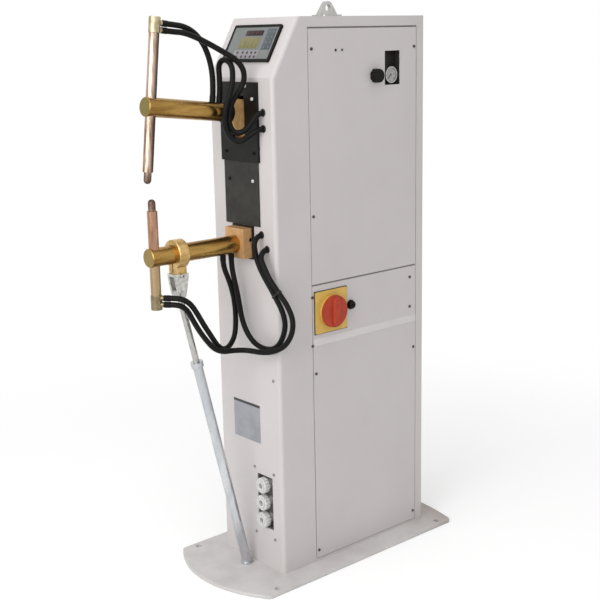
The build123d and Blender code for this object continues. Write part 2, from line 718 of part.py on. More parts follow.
with BuildPart() as block_insulator:
    with BuildSketch(front_plane(FRONT + SHEET)):
        with Locations((0, block_middle)):
            Rectangle(BLOCK_WIDTH + 2 * INSULATION, BLOCK_HEIGHT + 2 * INSULATION)
            Rectangle(BLOCK_WIDTH, BLOCK_HEIGHT, mode=Mode.SUBTRACT)
    extrude(amount=SHEET + INSULATION)
save(block_insulator.part, "block_insulator")


def arm_nozzle_seats(nozzle_ys: list, floor_z: float, height: float) -> None:
    """Cuts the flat seats of the hose nozzles into the open arm, up or down from floor_z."""
    with BuildSketch(level(floor_z)) as seats:
        with Locations(*[(0, y) for y in nozzle_ys]):
            Circle(PORT_COLLAR / 2 + FIXED_FIT)
    extrude(seats.sketch, amount=height, mode=Mode.SUBTRACT)


def arm_nozzles(nozzle_ys: list, floor_z: float, way: int) -> Part:
    """Two hose nozzles that stand on their seats, upwards (way 1) or downwards (way -1)."""
    with BuildPart() as nozzles:
        for diameter, height in ((PORT_COLLAR, nozzle_collar), (NOZZLE_DIAMETER, nozzle_rise)):
            with BuildSketch(level(floor_z)):
                with Locations(*[(0, y) for y in nozzle_ys]):
                    Circle(diameter / 2)
            extrude(amount=way * height)
    return nozzles.part


# Lower arm with the cross hole of its electrode holder and two nozzle seats underneath
arm_radius = ARM_DIAMETER / 2
nozzle_rise = ARM_NOZZLE_SEAT + ARM_NOZZLE_HEIGHT
nozzle_collar = ARM_NOZZLE_SEAT + ARM_NOZZLE_COLLAR
lower_nozzle_ys = [FRONT - ahead for ahead in LOWER_NOZZLES]
lower_seat_z = LOWER_ARM_Z - arm_radius + ARM_NOZZLE_SEAT
with BuildPart() as lower_arm:
    with BuildSketch(front_plane(FRONT - BLOCK_AHEAD + ARM_GRIP)):
        with Locations((0, LOWER_ARM_Z)):
            Circle(arm_radius)
    extrude(amount=FRONT - BLOCK_AHEAD + ARM_GRIP - ARM_END_Y)
    chamfer(lower_arm.faces().sort_by(Axis.Y)[0].edges(), ARM_CHAMFER)
    with BuildSketch(level(LOWER_ARM_Z - arm_radius)):
        with Locations((0, ELECTRODE_Y)):
            Circle(HOLDER_DIAMETER / 2 + FIXED_FIT)
    extrude(amount=ARM_DIAMETER, mode=Mode.SUBTRACT)
    arm_nozzle_seats(lower_nozzle_ys, lower_seat_z, -ARM_DIAMETER)
save(lower_arm.part, "lower_arm")
save(arm_nozzles(lower_nozzle_ys, lower_seat_z, -1), "lower_arm_nozzles")


def electrode_tip(foot_z: float, way: int) -> Part:
    """A domed electrode tip that stands on foot_z, pointing up (way 1) or down (way -1)."""
    radius = TIP_DIAMETER / 2
    with BuildPart() as tip:
        with BuildSketch(Plane.XZ.offset(-ELECTRODE_Y)):
            with BuildLine():
                shoulder = (radius, foot_z + way * (TIP_LENGTH - radius))
                nose = (TIP_FACE / 2, foot_z + way * TIP_LENGTH)
                Polyline((0, nose[1]), (0, foot_z), (radius, foot_z), shoulder)
                TangentArc(shoulder, nose, tangent=(0, way))
                Line(nose, (0, nose[1]))
            make_face()
        revolve(axis=Axis((0, ELECTRODE_Y, 0), (0, 0, 1)))
    return tip.part


def holder_tube(low_z: float, high_z: float, bore_from_top: bool) -> Part:
    """An electrode holder with its water bore open at the head's end."""
    with BuildPart() as holder:
        with BuildSketch(level(low_z)):
            with Locations((0, ELECTRODE_Y)):
                Circle(HOLDER_DIAMETER / 2)
        extrude(amount=high_z - low_z)
        depth = high_z - low_z - HOLDER_DIAMETER
        with BuildSketch(level(high_z - depth if bore_from_top else low_z)):
            with Locations((0, ELECTRODE_Y)):
                Circle(HOLDER_BORE / 2)
        extrude(amount=depth, mode=Mode.SUBTRACT)
    return holder.part


def holder_head(low_z: float, turn: float, port_rise: float) -> Part:
    """The brass head of a holder, with two hose ports one above the other, turned from +Y."""
    with BuildPart() as head:
        with BuildSketch(level(low_z)):
            with Locations((0, ELECTRODE_Y)):
                Circle(HEAD_DIAMETER / 2)
        extrude(amount=HEAD_HEIGHT)
        chamfer(head.edges(), ARM_CHAMFER / 2)
        way = Vector(0, 1, 0).rotate(Axis.Z, turn)
        for port_z in (low_z + port_rise, low_z + port_rise + PORT_PITCH):
            port = Plane(origin=(0, ELECTRODE_Y, port_z), z_dir=way)
            for diameter, reach in ((PORT_COLLAR, PORT_COLLAR_LENGTH), (NOZZLE_DIAMETER, NOZZLE_LENGTH)):
                with BuildSketch(port):
                    Circle(diameter / 2)
                extrude(amount=HEAD_DIAMETER / 2 + reach)
    return head.part


# Lower electrode: head, holder and tip
lower_head_top = LOWER_ARM_Z - LOWER_HOLDER_BOTTOM
lower_tip_foot = CONTACT_Z - TIP_LENGTH
lower_head_bottom = lower_head_top - HEAD_HEIGHT
save(holder_head(lower_head_bottom, LOWER_PORT_TURN - 90, LOWER_PORT_LOW), "lower_holder_head")
save(holder_tube(lower_head_top, lower_tip_foot, False), "lower_electrode_holder")
save(electrode_tip(lower_tip_foot, 1), "lower_electrode_tip")

# Clamp collar on the lower arm, split through its lug
collar_y = FRONT - COLLAR_AHEAD
lug_bottom = LOWER_ARM_Z - COLLAR_DROP
with BuildPart() as arm_collar:
    with BuildSketch(front_plane(collar_y + COLLAR_LENGTH / 2)):
        with Locations((0, LOWER_ARM_Z)):
            Circle(COLLAR_RADIUS)
        rectangle(-COLLAR_LUG / 2, COLLAR_LUG / 2, lug_bottom, LOWER_ARM_Z)
        with Locations((0, LOWER_ARM_Z)):
            Circle(arm_radius + FIXED_FIT, mode=Mode.SUBTRACT)
    extrude(amount=COLLAR_LENGTH)
    chamfer(arm_collar.edges().filter_by(GeomType.CIRCLE).group_by(SortBy.RADIUS)[-1], ARM_CHAMFER)
    with BuildSketch(front_plane(collar_y + COLLAR_LENGTH / 2)):
        rectangle(-COLLAR_SLIT / 2, COLLAR_SLIT / 2, lug_bottom + COLLAR_SLIT, LOWER_ARM_Z)
    extrude(amount=COLLAR_LENGTH, mode=Mode.SUBTRACT)
save(arm_collar.part, "arm_collar")

# Strut: clevis under the collar, pin, eye rod and the tube that stands on the base plate
pin_z = lug_bottom - STRUT_PIN_DROP
clevis_inside = ROD_EYE / 2 + FORK_GAP / 2
clevis_outside = clevis_inside + CLEVIS_CHEEK
with BuildPart() as strut_clevis:
    with BuildSketch(level(lug_bottom)):
        with Locations((0, collar_y)):
            Rectangle(2 * clevis_outside, CLEVIS_LENGTH)
    extrude(amount=-CLEVIS_PLATE)
    for cheek_x in (clevis_inside, -clevis_outside):
        with BuildSketch(side_plane(cheek_x)):
            with Locations((collar_y, lug_bottom - CLEVIS_PLATE)):
                Rectangle(CLEVIS_LENGTH, 1, align=(Align.CENTER, Align.MAX))
            with Locations((collar_y, pin_z)):
                Circle(CLEVIS_EYE)
            make_hull()
            with Locations((collar_y, pin_z)):
                Circle(STRUT_PIN / 2 + FIXED_FIT, mode=Mode.SUBTRACT)
        extrude(amount=CLEVIS_CHEEK)
save(strut_clevis.part, "strut_clevis")

with BuildPart() as strut_pin:
    with BuildSketch(side_plane(-clevis_outside)):
        with Locations((collar_y, pin_z)):
            Circle(STRUT_PIN / 2)
    extrude(amount=2 * clevis_outside)
    for head_x in (clevis_outside, -clevis_outside - STRUT_PIN_HEAD):
        with BuildSketch(side_plane(head_x)):
            with Locations((collar_y, pin_z)):
                Circle(STRUT_PIN_HEAD_DIAMETER / 2)
        extrude(amount=STRUT_PIN_HEAD)
save(strut_pin.part, "strut_pin")

foot_y = FRONT - STRUT_FOOT_AHEAD
foot_top = BASE_TOP + FOOT_THICKNESS
strut_way = Vector(0, foot_y - collar_y, foot_top - pin_z)
strut_plane = Plane(origin=(0, collar_y, pin_z), x_dir=(1, 0, 0), z_dir=strut_way)
with BuildPart() as strut_rod:
    with BuildSketch(side_plane(-ROD_EYE / 2)):
        with Locations((collar_y, pin_z)):
            Circle(CLEVIS_EYE)
    extrude(amount=ROD_EYE)
    with BuildSketch(strut_plane):
        Circle(STRUT_ROD / 2)
    extrude(amount=ROD_EXPOSED + ROD_INSERTED)
    with BuildSketch(side_plane(-ROD_EYE / 2)):
        with Locations((collar_y, pin_z)):
            Circle(STRUT_PIN / 2 + FIXED_FIT)
    extrude(amount=ROD_EYE, mode=Mode.SUBTRACT)
save(strut_rod.part, "strut_rod")

with BuildPart() as strut_tube:
    with BuildSketch(strut_plane.offset(ROD_EXPOSED)):
        Circle(STRUT_RING / 2)
    extrude(amount=STRUT_RING_LENGTH)
    with BuildSketch(strut_plane.offset(ROD_EXPOSED)):
        Circle(STRUT_TUBE / 2)
    extrude(amount=strut_way.length - ROD_EXPOSED + STRUT_TUBE)
    with BuildSketch(strut_plane.offset(ROD_EXPOSED)):
        Circle(STRUT_ROD / 2 + FIXED_FIT)
    extrude(amount=strut_way.length - ROD_EXPOSED - STRUT_TUBE, mode=Mode.SUBTRACT)
    split(bisect_by=level(foot_top), keep=Keep.TOP)
    with BuildSketch(level(BASE_TOP)):
        with Locations((0, foot_y)):
            Circle(FOOT_DIAMETER / 2)
    extrude(amount=FOOT_THICKNESS)
save(strut_tube.part, "strut_tube")

# Rocker: front lug for the arm, wide middle on the pivot, and the tail over the air cylinder
rocker_rear = ROCKER_FRONT + ROCKER_LENGTH
lug_low = UPPER_ARM_Z - LUG_BELOW
lug_high = UPPER_ARM_Z + LUG_ABOVE
bush_radius = PIVOT_PIN / 2 + BUSH_WALL
with BuildPart() as rocker_lever:
    with BuildSketch(side_plane(-ROCKER_WIDTH / 2)):
        with BuildLine():
            Polyline(
                (ROCKER_FRONT, lug_low),
                (ROCKER_FRONT, lug_high),
                (PIVOT_Y, lug_high),
                (rocker_rear, PIVOT_Z + HUB_RADIUS),
                (rocker_rear, PIVOT_Z - TAIL_END),
                (PIVOT_Y, PIVOT_Z - HUB_RADIUS),
                (PIVOT_Y - HUB_RADIUS, PIVOT_Z),
                (PIVOT_Y - HUB_RADIUS, lug_low),
                close=True,
            )
        make_face()
        with Locations((PIVOT_Y, PIVOT_Z)):
            Circle(HUB_RADIUS)
    extrude(amount=ROCKER_WIDTH)
    with BuildSketch(side_plane(-LUG_THICKNESS / 2)) as lug_outline:
        rectangle(LUG_FRONT, ROCKER_FRONT, lug_low, lug_high)
        fillet(lug_outline.vertices().sort_by_distance((LUG_FRONT, lug_low))[0], LUG_ROUND)
    extrude(amount=LUG_THICKNESS)
    with BuildSketch(side_plane(-LUG_THICKNESS / 2)):
        with Locations((CYLINDER_Y, PIVOT_Z)):
            Circle(TAIL_END)
        rectangle(rocker_rear, rocker_rear + 1, PIVOT_Z - TAIL_END, PIVOT_Z + HUB_RADIUS)
        make_hull()
    extrude(amount=LUG_THICKNESS)
    with BuildSketch(side_plane(-ROCKER_WIDTH / 2)):
        with Locations((PIVOT_Y, PIVOT_Z)):
            Circle(bush_radius + FIXED_FIT)
        with Locations((CYLINDER_Y, PIVOT_Z)):
            SlotOverall(ROD_SLOT, ROD_PIN + 2 * ROD_PIN_PLAY)
    extrude(amount=ROCKER_WIDTH, mode=Mode.SUBTRACT)
    with BuildSketch(front_plane(LUG_FRONT + SPIGOT_DEPTH)):
        with Locations((0, UPPER_ARM_Z)):
            Circle(SPIGOT_DIAMETER / 2 + FIXED_FIT)
    extrude(amount=SPIGOT_DEPTH, mode=Mode.SUBTRACT)
save(swung_open(rocker_lever.part), "rocker_lever")

with BuildPart() as pivot_bushes:
    for bush_x in (-ROCKER_WIDTH / 2, ROCKER_WIDTH / 2 - BUSH_LENGTH):
        with BuildSketch(side_plane(bush_x)):
            with Locations((PIVOT_Y, PIVOT_Z)):
                Circle(bush_radius)
                Circle(PIVOT_PIN / 2 + RUNNING_FIT, mode=Mode.SUBTRACT)
        extrude(amount=BUSH_LENGTH)
save(swung_open(pivot_bushes.part), "pivot_bushes")

# Insulating washer between the lug and the upper arm, and the arm with its spigot
with BuildPart() as arm_washer:
    with BuildSketch(front_plane(LUG_FRONT)):
        with Locations((0, UPPER_ARM_Z)):
            Circle(WASHER_DIAMETER / 2)
            Circle(SPIGOT_DIAMETER / 2 + FIXED_FIT, mode=Mode.SUBTRACT)
    extrude(amount=WASHER_THICKNESS)
    rims = arm_washer.edges().filter_by(GeomType.CIRCLE)
    chamfer(rims.group_by(SortBy.RADIUS)[-1], ARM_CHAMFER)
save(swung_open(arm_washer.part), "arm_washer")

upper_nozzle_ys = [FRONT - ahead for ahead in UPPER_NOZZLES]
upper_seat_z = UPPER_ARM_Z + arm_radius - ARM_NOZZLE_SEAT
with BuildPart() as upper_arm:
    with BuildSketch(front_plane(UPPER_ARM_ROOT)):
        with Locations((0, UPPER_ARM_Z)):
            Circle(arm_radius)
    extrude(amount=UPPER_ARM_ROOT - ARM_END_Y)
    chamfer(upper_arm.faces().sort_by(Axis.Y)[0].edges(), ARM_CHAMFER)
    with BuildSketch(front_plane(LUG_FRONT + SPIGOT_DEPTH)):
        with Locations((0, UPPER_ARM_Z)):
            Circle(SPIGOT_DIAMETER / 2)
    extrude(amount=SPIGOT_DEPTH + WASHER_THICKNESS)
    with BuildSketch(level(UPPER_ARM_Z - arm_radius)):
        with Locations((0, ELECTRODE_Y)):
            Circle(HOLDER_DIAMETER / 2 + FIXED_FIT)
    extrude(amount=ARM_DIAMETER, mode=Mode.SUBTRACT)
    arm_nozzle_seats(upper_nozzle_ys, upper_seat_z, ARM_DIAMETER)
save(swung_open(upper_arm.part), "upper_arm")
save(swung_open(arm_nozzles(upper_nozzle_ys, upper_seat_z, 1)), "upper_arm_nozzles")

# Upper electrode: head, holder and tip
upper_head_bottom = UPPER_ARM_Z + UPPER_HOLDER_TOP
upper_tip_foot = CONTACT_Z + TIP_GAP_SHUT + TIP_LENGTH
save(swung_open(holder_head(upper_head_bottom, 0, UPPER_PORT_LOW)), "upper_holder_head")
save(swung_open(holder_tube(upper_tip_foot, upper_head_bottom, True)), "upper_electrode_holder")
save(swung_open(electrode_tip(upper_tip_foot, -1)), "upper_electrode_tip")

# Pivot bracket on the inside of the front wall, and the pivot pin through its cheeks
bracket_y = FRONT + SHEET
cheek_x = ROCKER_WIDTH / 2 + CHEEK_GAP
with BuildPart() as pivot_bracket:
    with BuildSketch(front_plane(bracket_y + BRACKET_PLATE)):
        half = BRACKET_WIDTH / 2
        rectangle(-half, half, PIVOT_Z - BRACKET_BELOW, PIVOT_Z + BRACKET_ABOVE)
        with Locations((0, (window_low + window_high) / 2)):
            Rectangle(WINDOW_WIDTH, window_high - window_low, mode=Mode.SUBTRACT)
    extrude(amount=BRACKET_PLATE)
    for low_x in (cheek_x, -cheek_x - CHEEK):
        with BuildSketch(side_plane(low_x)):
            with Locations((PIVOT_Y, PIVOT_Z)):
                Circle(HUB_RADIUS)
            low_z = PIVOT_Z - BRACKET_BELOW
            rectangle(bracket_y, bracket_y + BRACKET_PLATE, low_z, PIVOT_Z + HUB_RADIUS)
            make_hull()
            with Locations((PIVOT_Y, PIVOT_Z)):
                Circle(PIVOT_PIN / 2 + FIXED_FIT, mode=Mode.SUBTRACT)
        extrude(amount=CHEEK)
save(pivot_bracket.part, "pivot_bracket")

with BuildPart() as pivot_pin:
    pin_half = cheek_x + CHEEK + STRUT_PIN_HEAD
    with BuildSketch(side_plane(-pin_half)):
        with Locations((PIVOT_Y, PIVOT_Z)):
            Circle(PIVOT_PIN / 2)
    extrude(amount=2 * pin_half)
    chamfer(pivot_pin.edges().filter_by(GeomType.CIRCLE), ARM_CHAMFER)
save(pivot_pin.part, "pivot_pin")

# Shelves between the side ledges: a short one for the cylinder and a full one for the transformer
tail = open_point(CYLINDER_Y, PIVOT_Z)
fork_base = tail.Z - FORK_DEPTH - FORK_CHEEK
stroke = TAIL_RADIUS * math.radians(OPEN_ANGLE)
barrel_top = fork_base - FORK_CLEARANCE
barrel_height = 2 * CYLINDER_CAP + PISTON_THICKNESS + stroke + STROKE_SPARE
shelf_top = barrel_top - barrel_height
bar_bottom = LOWER_ARM_Z - BAR_THICKNESS / 2
core_z = bar_bottom - TERMINAL_RISE - CORE_HEIGHT
with BuildPart() as inner_shelves:
    with BuildSketch(level(shelf_top)):
        rectangle(-INSIDE_X, INSIDE_X, CYLINDER_Y - CYLINDER_DIAMETER, INSIDE_REAR)
    extrude(amount=-SHELF_THICKNESS)
    with BuildSketch(level(core_z)):
        rectangle(-INSIDE_X, INSIDE_X, FRONT + SHEET, INSIDE_REAR)
    extrude(amount=-SHELF_THICKNESS)
    fillet(inner_shelves.edges().filter_by(Axis.Z).group_by(Axis.Y)[0], FOLD)
save(inner_shelves.part, "inner_shelves")

# Air cylinder on its shelf, with the piston, rod and fork that lift the rocker's tail
with BuildPart() as air_cylinder:
    with BuildSketch(level(shelf_top)):
        with Locations((0, CYLINDER_Y)):
            Circle(CYLINDER_BORE / 2 + CYLINDER_WALL)
    extrude(amount=barrel_height)
    for cap_z in (shelf_top, barrel_top - CYLINDER_CAP):
        with BuildSketch(level(cap_z)):
            with Locations((0, CYLINDER_Y)):
                RectangleRounded(CYLINDER_DIAMETER, CYLINDER_DIAMETER, CYLINDER_CORNER)
        extrude(amount=CYLINDER_CAP)
    with BuildSketch(level(shelf_top + CYLINDER_CAP)):
        with Locations((0, CYLINDER_Y)):
            Circle(CYLINDER_BORE / 2)
    extrude(amount=barrel_height - 2 * CYLINDER_CAP, mode=Mode.SUBTRACT)
    with BuildSketch(level(barrel_top - CYLINDER_CAP)):
        with Locations((0, CYLINDER_Y)):
            Circle(ROD_DIAMETER / 2 + RUNNING_FIT)
    extrude(amount=CYLINDER_CAP, mode=Mode.SUBTRACT)
save(air_cylinder.part, "air_cylinder")

fork_inside = LUG_THICKNESS / 2 + FORK_GAP
fork_outside = fork_inside + FORK_CHEEK
piston_z = shelf_top + CYLINDER_CAP + ROD_PIN_PLAY
with BuildPart() as piston_rod:
    with BuildSketch(level(piston_z)):
        with Locations((0, CYLINDER_Y)):
            Circle(CYLINDER_BORE / 2 - RUNNING_FIT)
    extrude(amount=PISTON_THICKNESS)
    with BuildSketch(level(piston_z)):
        with Locations((0, CYLINDER_Y)):
            Circle(ROD_DIAMETER / 2)
    extrude(amount=fork_base + FORK_CHEEK - piston_z)
    with BuildSketch(level(fork_base)):
        with Locations((0, CYLINDER_Y)):
            Rectangle(2 * fork_outside, 2 * TAIL_END)
    extrude(amount=FORK_CHEEK + FORK_DEPTH + ROD_PIN)
    with BuildSketch(level(fork_base + FORK_CHEEK)):
        with Locations((0, CYLINDER_Y)):
            Rectangle(2 * fork_inside, 2 * TAIL_END)
    extrude(amount=FORK_DEPTH + ROD_PIN, mode=Mode.SUBTRACT)
    with BuildSketch(side_plane(-fork_outside)):
        with Locations((CYLINDER_Y, tail.Z)):
            Circle(ROD_PIN / 2)
    extrude(amount=2 * fork_outside)
save(piston_rod.part, "piston_rod")

# Solenoid valve beside the cylinder
with BuildPart() as air_valve:
    valve_x = -CYLINDER_DIAMETER / 2 - VALVE_WIDTH
    with BuildSketch(level(shelf_top)):
        with Locations((valve_x, CYLINDER_Y)):
            Rectangle(VALVE_WIDTH, VALVE_LENGTH)
    extrude(amount=VALVE_HEIGHT / 2)
    with BuildSketch(level(shelf_top)):
        with Locations((valve_x, CYLINDER_Y + VALVE_COIL_BEHIND)):
            RectangleRounded(VALVE_COIL_WIDTH, VALVE_COIL_WIDTH, VALVE_COIL_CORNER)
    extrude(amount=VALVE_HEIGHT)
save(air_valve.part, "air_valve")

# Transformer on its shelf: three-legged core, and coils with two copper terminals
slot_width = (CORE_LENGTH - 2 * CORE_LEG) / 2
core_middle = core_z + CORE_HEIGHT / 2
slot_height = CORE_HEIGHT - CORE_LEG
with BuildPart() as transformer_core:
    with BuildSketch(side_plane(-CORE_STACK / 2)):
        with Locations((terminal_y, core_middle)):
            Rectangle(CORE_LENGTH, CORE_HEIGHT)
            with GridLocations(slot_width + CORE_LEG, slot_height, 2, 1):
                Rectangle(slot_width, slot_height, mode=Mode.SUBTRACT)
    extrude(amount=CORE_STACK)
save(transformer_core.part, "transformer_core")

coil_top = core_middle + slot_height / 2 - COIL_CLEARANCE
coil_bottom = core_middle - slot_height / 2
coil_length = CORE_LEG + 2 * slot_width - 2 * COIL_CLEARANCE
with BuildPart() as transformer_coils:
    with BuildSketch(level(coil_bottom)):
        with Locations((0, terminal_y)):
            RectangleRounded(COIL_WIDTH, coil_length, slot_width / 2)
            hole = (CORE_STACK + 2 * FIXED_FIT, CORE_LEG + 2 * FIXED_FIT)
            Rectangle(*hole, mode=Mode.SUBTRACT)
    extrude(amount=coil_top - coil_bottom)
    terminal_x = (COIL_WIDTH / 2 + CORE_STACK / 2) / 2
    with BuildSketch(level(coil_top)):
        with Locations((-terminal_x, terminal_y), (terminal_x, terminal_y)):
            Rectangle(TERMINAL_WIDTH, TERMINAL_LENGTH)
    extrude(amount=bar_bottom - coil_top)
save(transformer_coils.part, "transformer_coils")

# Flexible copper band from the transformer to the rocker's side
band_x = ROCKER_WIDTH / 2
band_end = open_point(rocker_rear - BAND_STRAP_BEND / 2, PIVOT_Z)
band_z = bar_bottom + BAND_STRAP_THICKNESS / 2
with BuildPart() as flexible_band:
    with BuildSketch(side_plane(band_x)):
        with BuildLine():
            FilletPolyline(
                (terminal_y + TERMINAL_LENGTH / 2, band_z),
                (band_end.Y + 2 * BAND_STRAP_BEND, band_z),
                (band_end.Y, band_end.Z),
                radius=BAND_STRAP_BEND,
            )
        trace(line_width=BAND_STRAP_THICKNESS)
    extrude(amount=BAND_STRAP_WIDTH)
save(flexible_band.part, "flexible_band")

# Thyristor module on the base plate, with its cooling fins
with BuildPart() as thyristor_module:
    with BuildSketch(level(BASE_TOP)):
        with Locations((0, terminal_y)):
            Rectangle(MODULE_WIDTH, MODULE_LENGTH)
    extrude(amount=MODULE_HEIGHT / 2)
    with BuildSketch(level(BASE_TOP)):
        with Locations((0, terminal_y)):
            with GridLocations((MODULE_WIDTH - MODULE_FIN) / (MODULE_FINS - 1), 1, MODULE_FINS, 1):
                Rectangle(MODULE_FIN, MODULE_LENGTH)
    extrude(amount=MODULE_HEIGHT)
save(thyristor_module.part, "thyristor_module")

# Main switch: yellow plate with a round collar, body behind the panel, and the turning knob with its shaft
plate_face = SIDE + SWITCH_PLATE_THICKNESS
collar_face = plate_face + SWITCH_COLLAR_HEIGHT
with BuildPart() as main_switch_plate:
    with BuildSketch(side_plane(SIDE)):
        with Locations((switch_y, switch_z)):
            RectangleRounded(SWITCH_PLATE, SWITCH_PLATE, CONTROL_CORNER)
            Circle(SWITCH_SHAFT / 2 + RUNNING_FIT, mode=Mode.SUBTRACT)
    extrude(amount=SWITCH_PLATE_THICKNESS)
    with BuildSketch(side_plane(plate_face)):
        with Locations((switch_y, switch_z)):
            Circle(SWITCH_COLLAR / 2)
            Circle(SWITCH_SHAFT / 2 + RUNNING_FIT, mode=Mode.SUBTRACT)
    extrude(amount=SWITCH_COLLAR_HEIGHT)
save(main_switch_plate.part, "main_switch_plate")

with BuildPart() as main_switch_body:
    with BuildSketch(side_plane(SIDE - SHEET)):
        with Locations((switch_y, switch_z)):
            RectangleRounded(SWITCH_BODY, SWITCH_BODY, CONTROL_CORNER)
    extrude(amount=-SWITCH_BODY_DEPTH)
    with BuildSketch(side_plane(SIDE - SHEET)):
        with Locations((switch_y, switch_z)):
            Circle(SWITCH_SHAFT / 2 + RUNNING_FIT)
    extrude(amount=-SWITCH_SHAFT_DEPTH, mode=Mode.SUBTRACT)
save(main_switch_body.part, "main_switch_body")

with BuildPart() as main_switch_knob:
    with BuildSketch(side_plane(collar_face + KNOB_GAP)):
        with Locations((switch_y, switch_z)):
            Circle(SWITCH_KNOB / 2)
    extrude(amount=SWITCH_KNOB_DISC, taper=SWITCH_KNOB_TAPER)
    with BuildSketch(side_plane(collar_face + KNOB_GAP + SWITCH_KNOB_DISC)):
        with Locations((switch_y, switch_z)):
            SlotOverall(SWITCH_GRIP_LENGTH, SWITCH_GRIP, rotation=90)
    extrude(amount=SWITCH_GRIP_HEIGHT, taper=SWITCH_GRIP_TAPER)
    grip_top = main_switch_knob.faces().sort_by(Axis.X)[-1]
    fillet(grip_top.edges(), SWITCH_GRIP_EDGE)
    with BuildSketch(side_plane(SIDE - SHEET - SWITCH_SHAFT_DEPTH + SHAFT_END_GAP)):
        with Locations((switch_y, switch_z)):
            Circle(SWITCH_SHAFT / 2)
    extrude(until=Until.NEXT)
save(main_switch_knob.part, "main_switch_knob")

# Fuse holder and its bayonet cap
with BuildPart() as fuse_holder:
    for plane_x, diameter, depth in (
        (SIDE + FUSE_FLANGE, FUSE_DIAMETER, FUSE_FLANGE),
        (SIDE, FUSE_NECK, FUSE_BODY_DEPTH),
    ):
        with BuildSketch(side_plane(plane_x)):
            with Locations((fuse_y, fuse_z)):
                Circle(diameter / 2)
        extrude(amount=-depth)
    with BuildSketch(side_plane(SIDE + FUSE_FLANGE)):
        with Locations((fuse_y, fuse_z)):
            Circle(FUSE_STEM / 2 + RUNNING_FIT)
    extrude(amount=-FUSE_STEM_DEPTH, mode=Mode.SUBTRACT)
save(fuse_holder.part, "fuse_holder")

with BuildPart() as fuse_cap:
    cap_x = SIDE + FUSE_FLANGE + KNOB_GAP
    with BuildSketch(side_plane(cap_x)):
        with Locations((fuse_y, fuse_z)):
            Circle(FUSE_CAP / 2)
    extrude(amount=FUSE_CAP_HEIGHT)
    fillet(fuse_cap.faces().sort_by(Axis.X)[-1].edges(), FUSE_CAP_EDGE)
    with BuildSketch(side_plane(cap_x + FUSE_CAP_HEIGHT)):
        with Locations((fuse_y, fuse_z)):
            Rectangle(FUSE_SLOT_LENGTH, FUSE_SLOT)
    extrude(amount=-FUSE_SLOT, mode=Mode.SUBTRACT)
    with BuildSketch(side_plane(cap_x)):
        with Locations((fuse_y, fuse_z)):
            Circle(FUSE_STEM / 2)
    extrude(amount=SHAFT_END_GAP - KNOB_GAP - FUSE_STEM_DEPTH)
save(fuse_cap.part, "fuse_cap")

# Air regulator behind the upper cover: one moulded housing with the gauge's well beside the valve
pocket_back = SIDE - SHEET - GAUGE_SINK - GAUGE_DEPTH
with BuildPart() as regulator_housing:
    with BuildSketch(side_plane(SIDE - SHEET)) as housing_outline:
        half = REGULATOR_BODY / 2
        rectangle(regulator_y - half, gauge_y, regulator_z - half, regulator_z + half)
        with Locations((gauge_y, window_z)):
            Rectangle(GAUGE_WINDOW_WIDTH + 2 * WELL_WALL, GAUGE_WINDOW_HEIGHT + 2 * WELL_WALL)
        fillet(housing_outline.vertices(), WELL_WALL / 2)
    extrude(amount=-REGULATOR_BODY_DEPTH)
    with BuildSketch(side_plane(SIDE - SHEET)):
        with Locations((gauge_y, window_z)):
            Rectangle(GAUGE_WINDOW_WIDTH, GAUGE_WINDOW_HEIGHT)
    extrude(amount=pocket_back - SIDE + SHEET, mode=Mode.SUBTRACT)
    with BuildSketch(side_plane(SIDE - SHEET)):
        with Locations((regulator_y, regulator_z)):
            Circle(REGULATOR_STEM / 2 + RUNNING_FIT)
    extrude(amount=-REGULATOR_STEM_DEPTH, mode=Mode.SUBTRACT)
save(regulator_housing.part, "regulator_housing")

with BuildPart() as regulator_knob:
    with BuildSketch(side_plane(SIDE + KNOB_GAP)):
        with Locations((regulator_y, regulator_z)):
            Circle(REGULATOR_KNOB / 2)
    extrude(amount=REGULATOR_KNOB_HEIGHT, taper=REGULATOR_KNOB_TAPER)
    fillet(regulator_knob.faces().sort_by(Axis.X)[-1].edges(), REGULATOR_KNOB_EDGE)
    with BuildSketch(side_plane(SIDE + KNOB_GAP)):
        with Locations((regulator_y, regulator_z)):
            with PolarLocations((REGULATOR_KNOB + KNOB_FLUTE) / 2 - KNOB_FLUTE_DEPTH, KNOB_FLUTES):
                Circle(KNOB_FLUTE / 2)
    extrude(amount=REGULATOR_KNOB_HEIGHT, mode=Mode.SUBTRACT)
    with BuildSketch(side_plane(SIDE + KNOB_GAP)):
        with Locations((regulator_y, regulator_z)):
            Circle(REGULATOR_STEM / 2)
    extrude(amount=SHAFT_END_GAP - KNOB_GAP - SHEET - REGULATOR_STEM_DEPTH)
save(regulator_knob.part, "regulator_knob")

# Pressure gauge at the back of its well, and the needle over the dial
gauge_face = pocket_back + GAUGE_DEPTH
dial_x = gauge_face - DIAL_SINK
with BuildPart() as gauge_case:
    with BuildSketch(side_plane(pocket_back)):
        with Locations((gauge_y, gauge_z)):
            Circle(GAUGE_DIAMETER / 2)
    extrude(amount=GAUGE_DEPTH)
    with BuildSketch(side_plane(dial_x)):
        with Locations((gauge_y, gauge_z)):
            Circle(GAUGE_DIAMETER / 2 - GAUGE_BEZEL)
    extrude(amount=DIAL_SINK, mode=Mode.SUBTRACT)
    with BuildSketch(side_plane(dial_x)):
        with Locations((gauge_y, gauge_z)):
            Circle(NEEDLE_SHAFT / 2 + RUNNING_FIT)
    extrude(amount=-NEEDLE_SHAFT_DEPTH, mode=Mode.SUBTRACT)
save(gauge_case.part, "gauge_case")

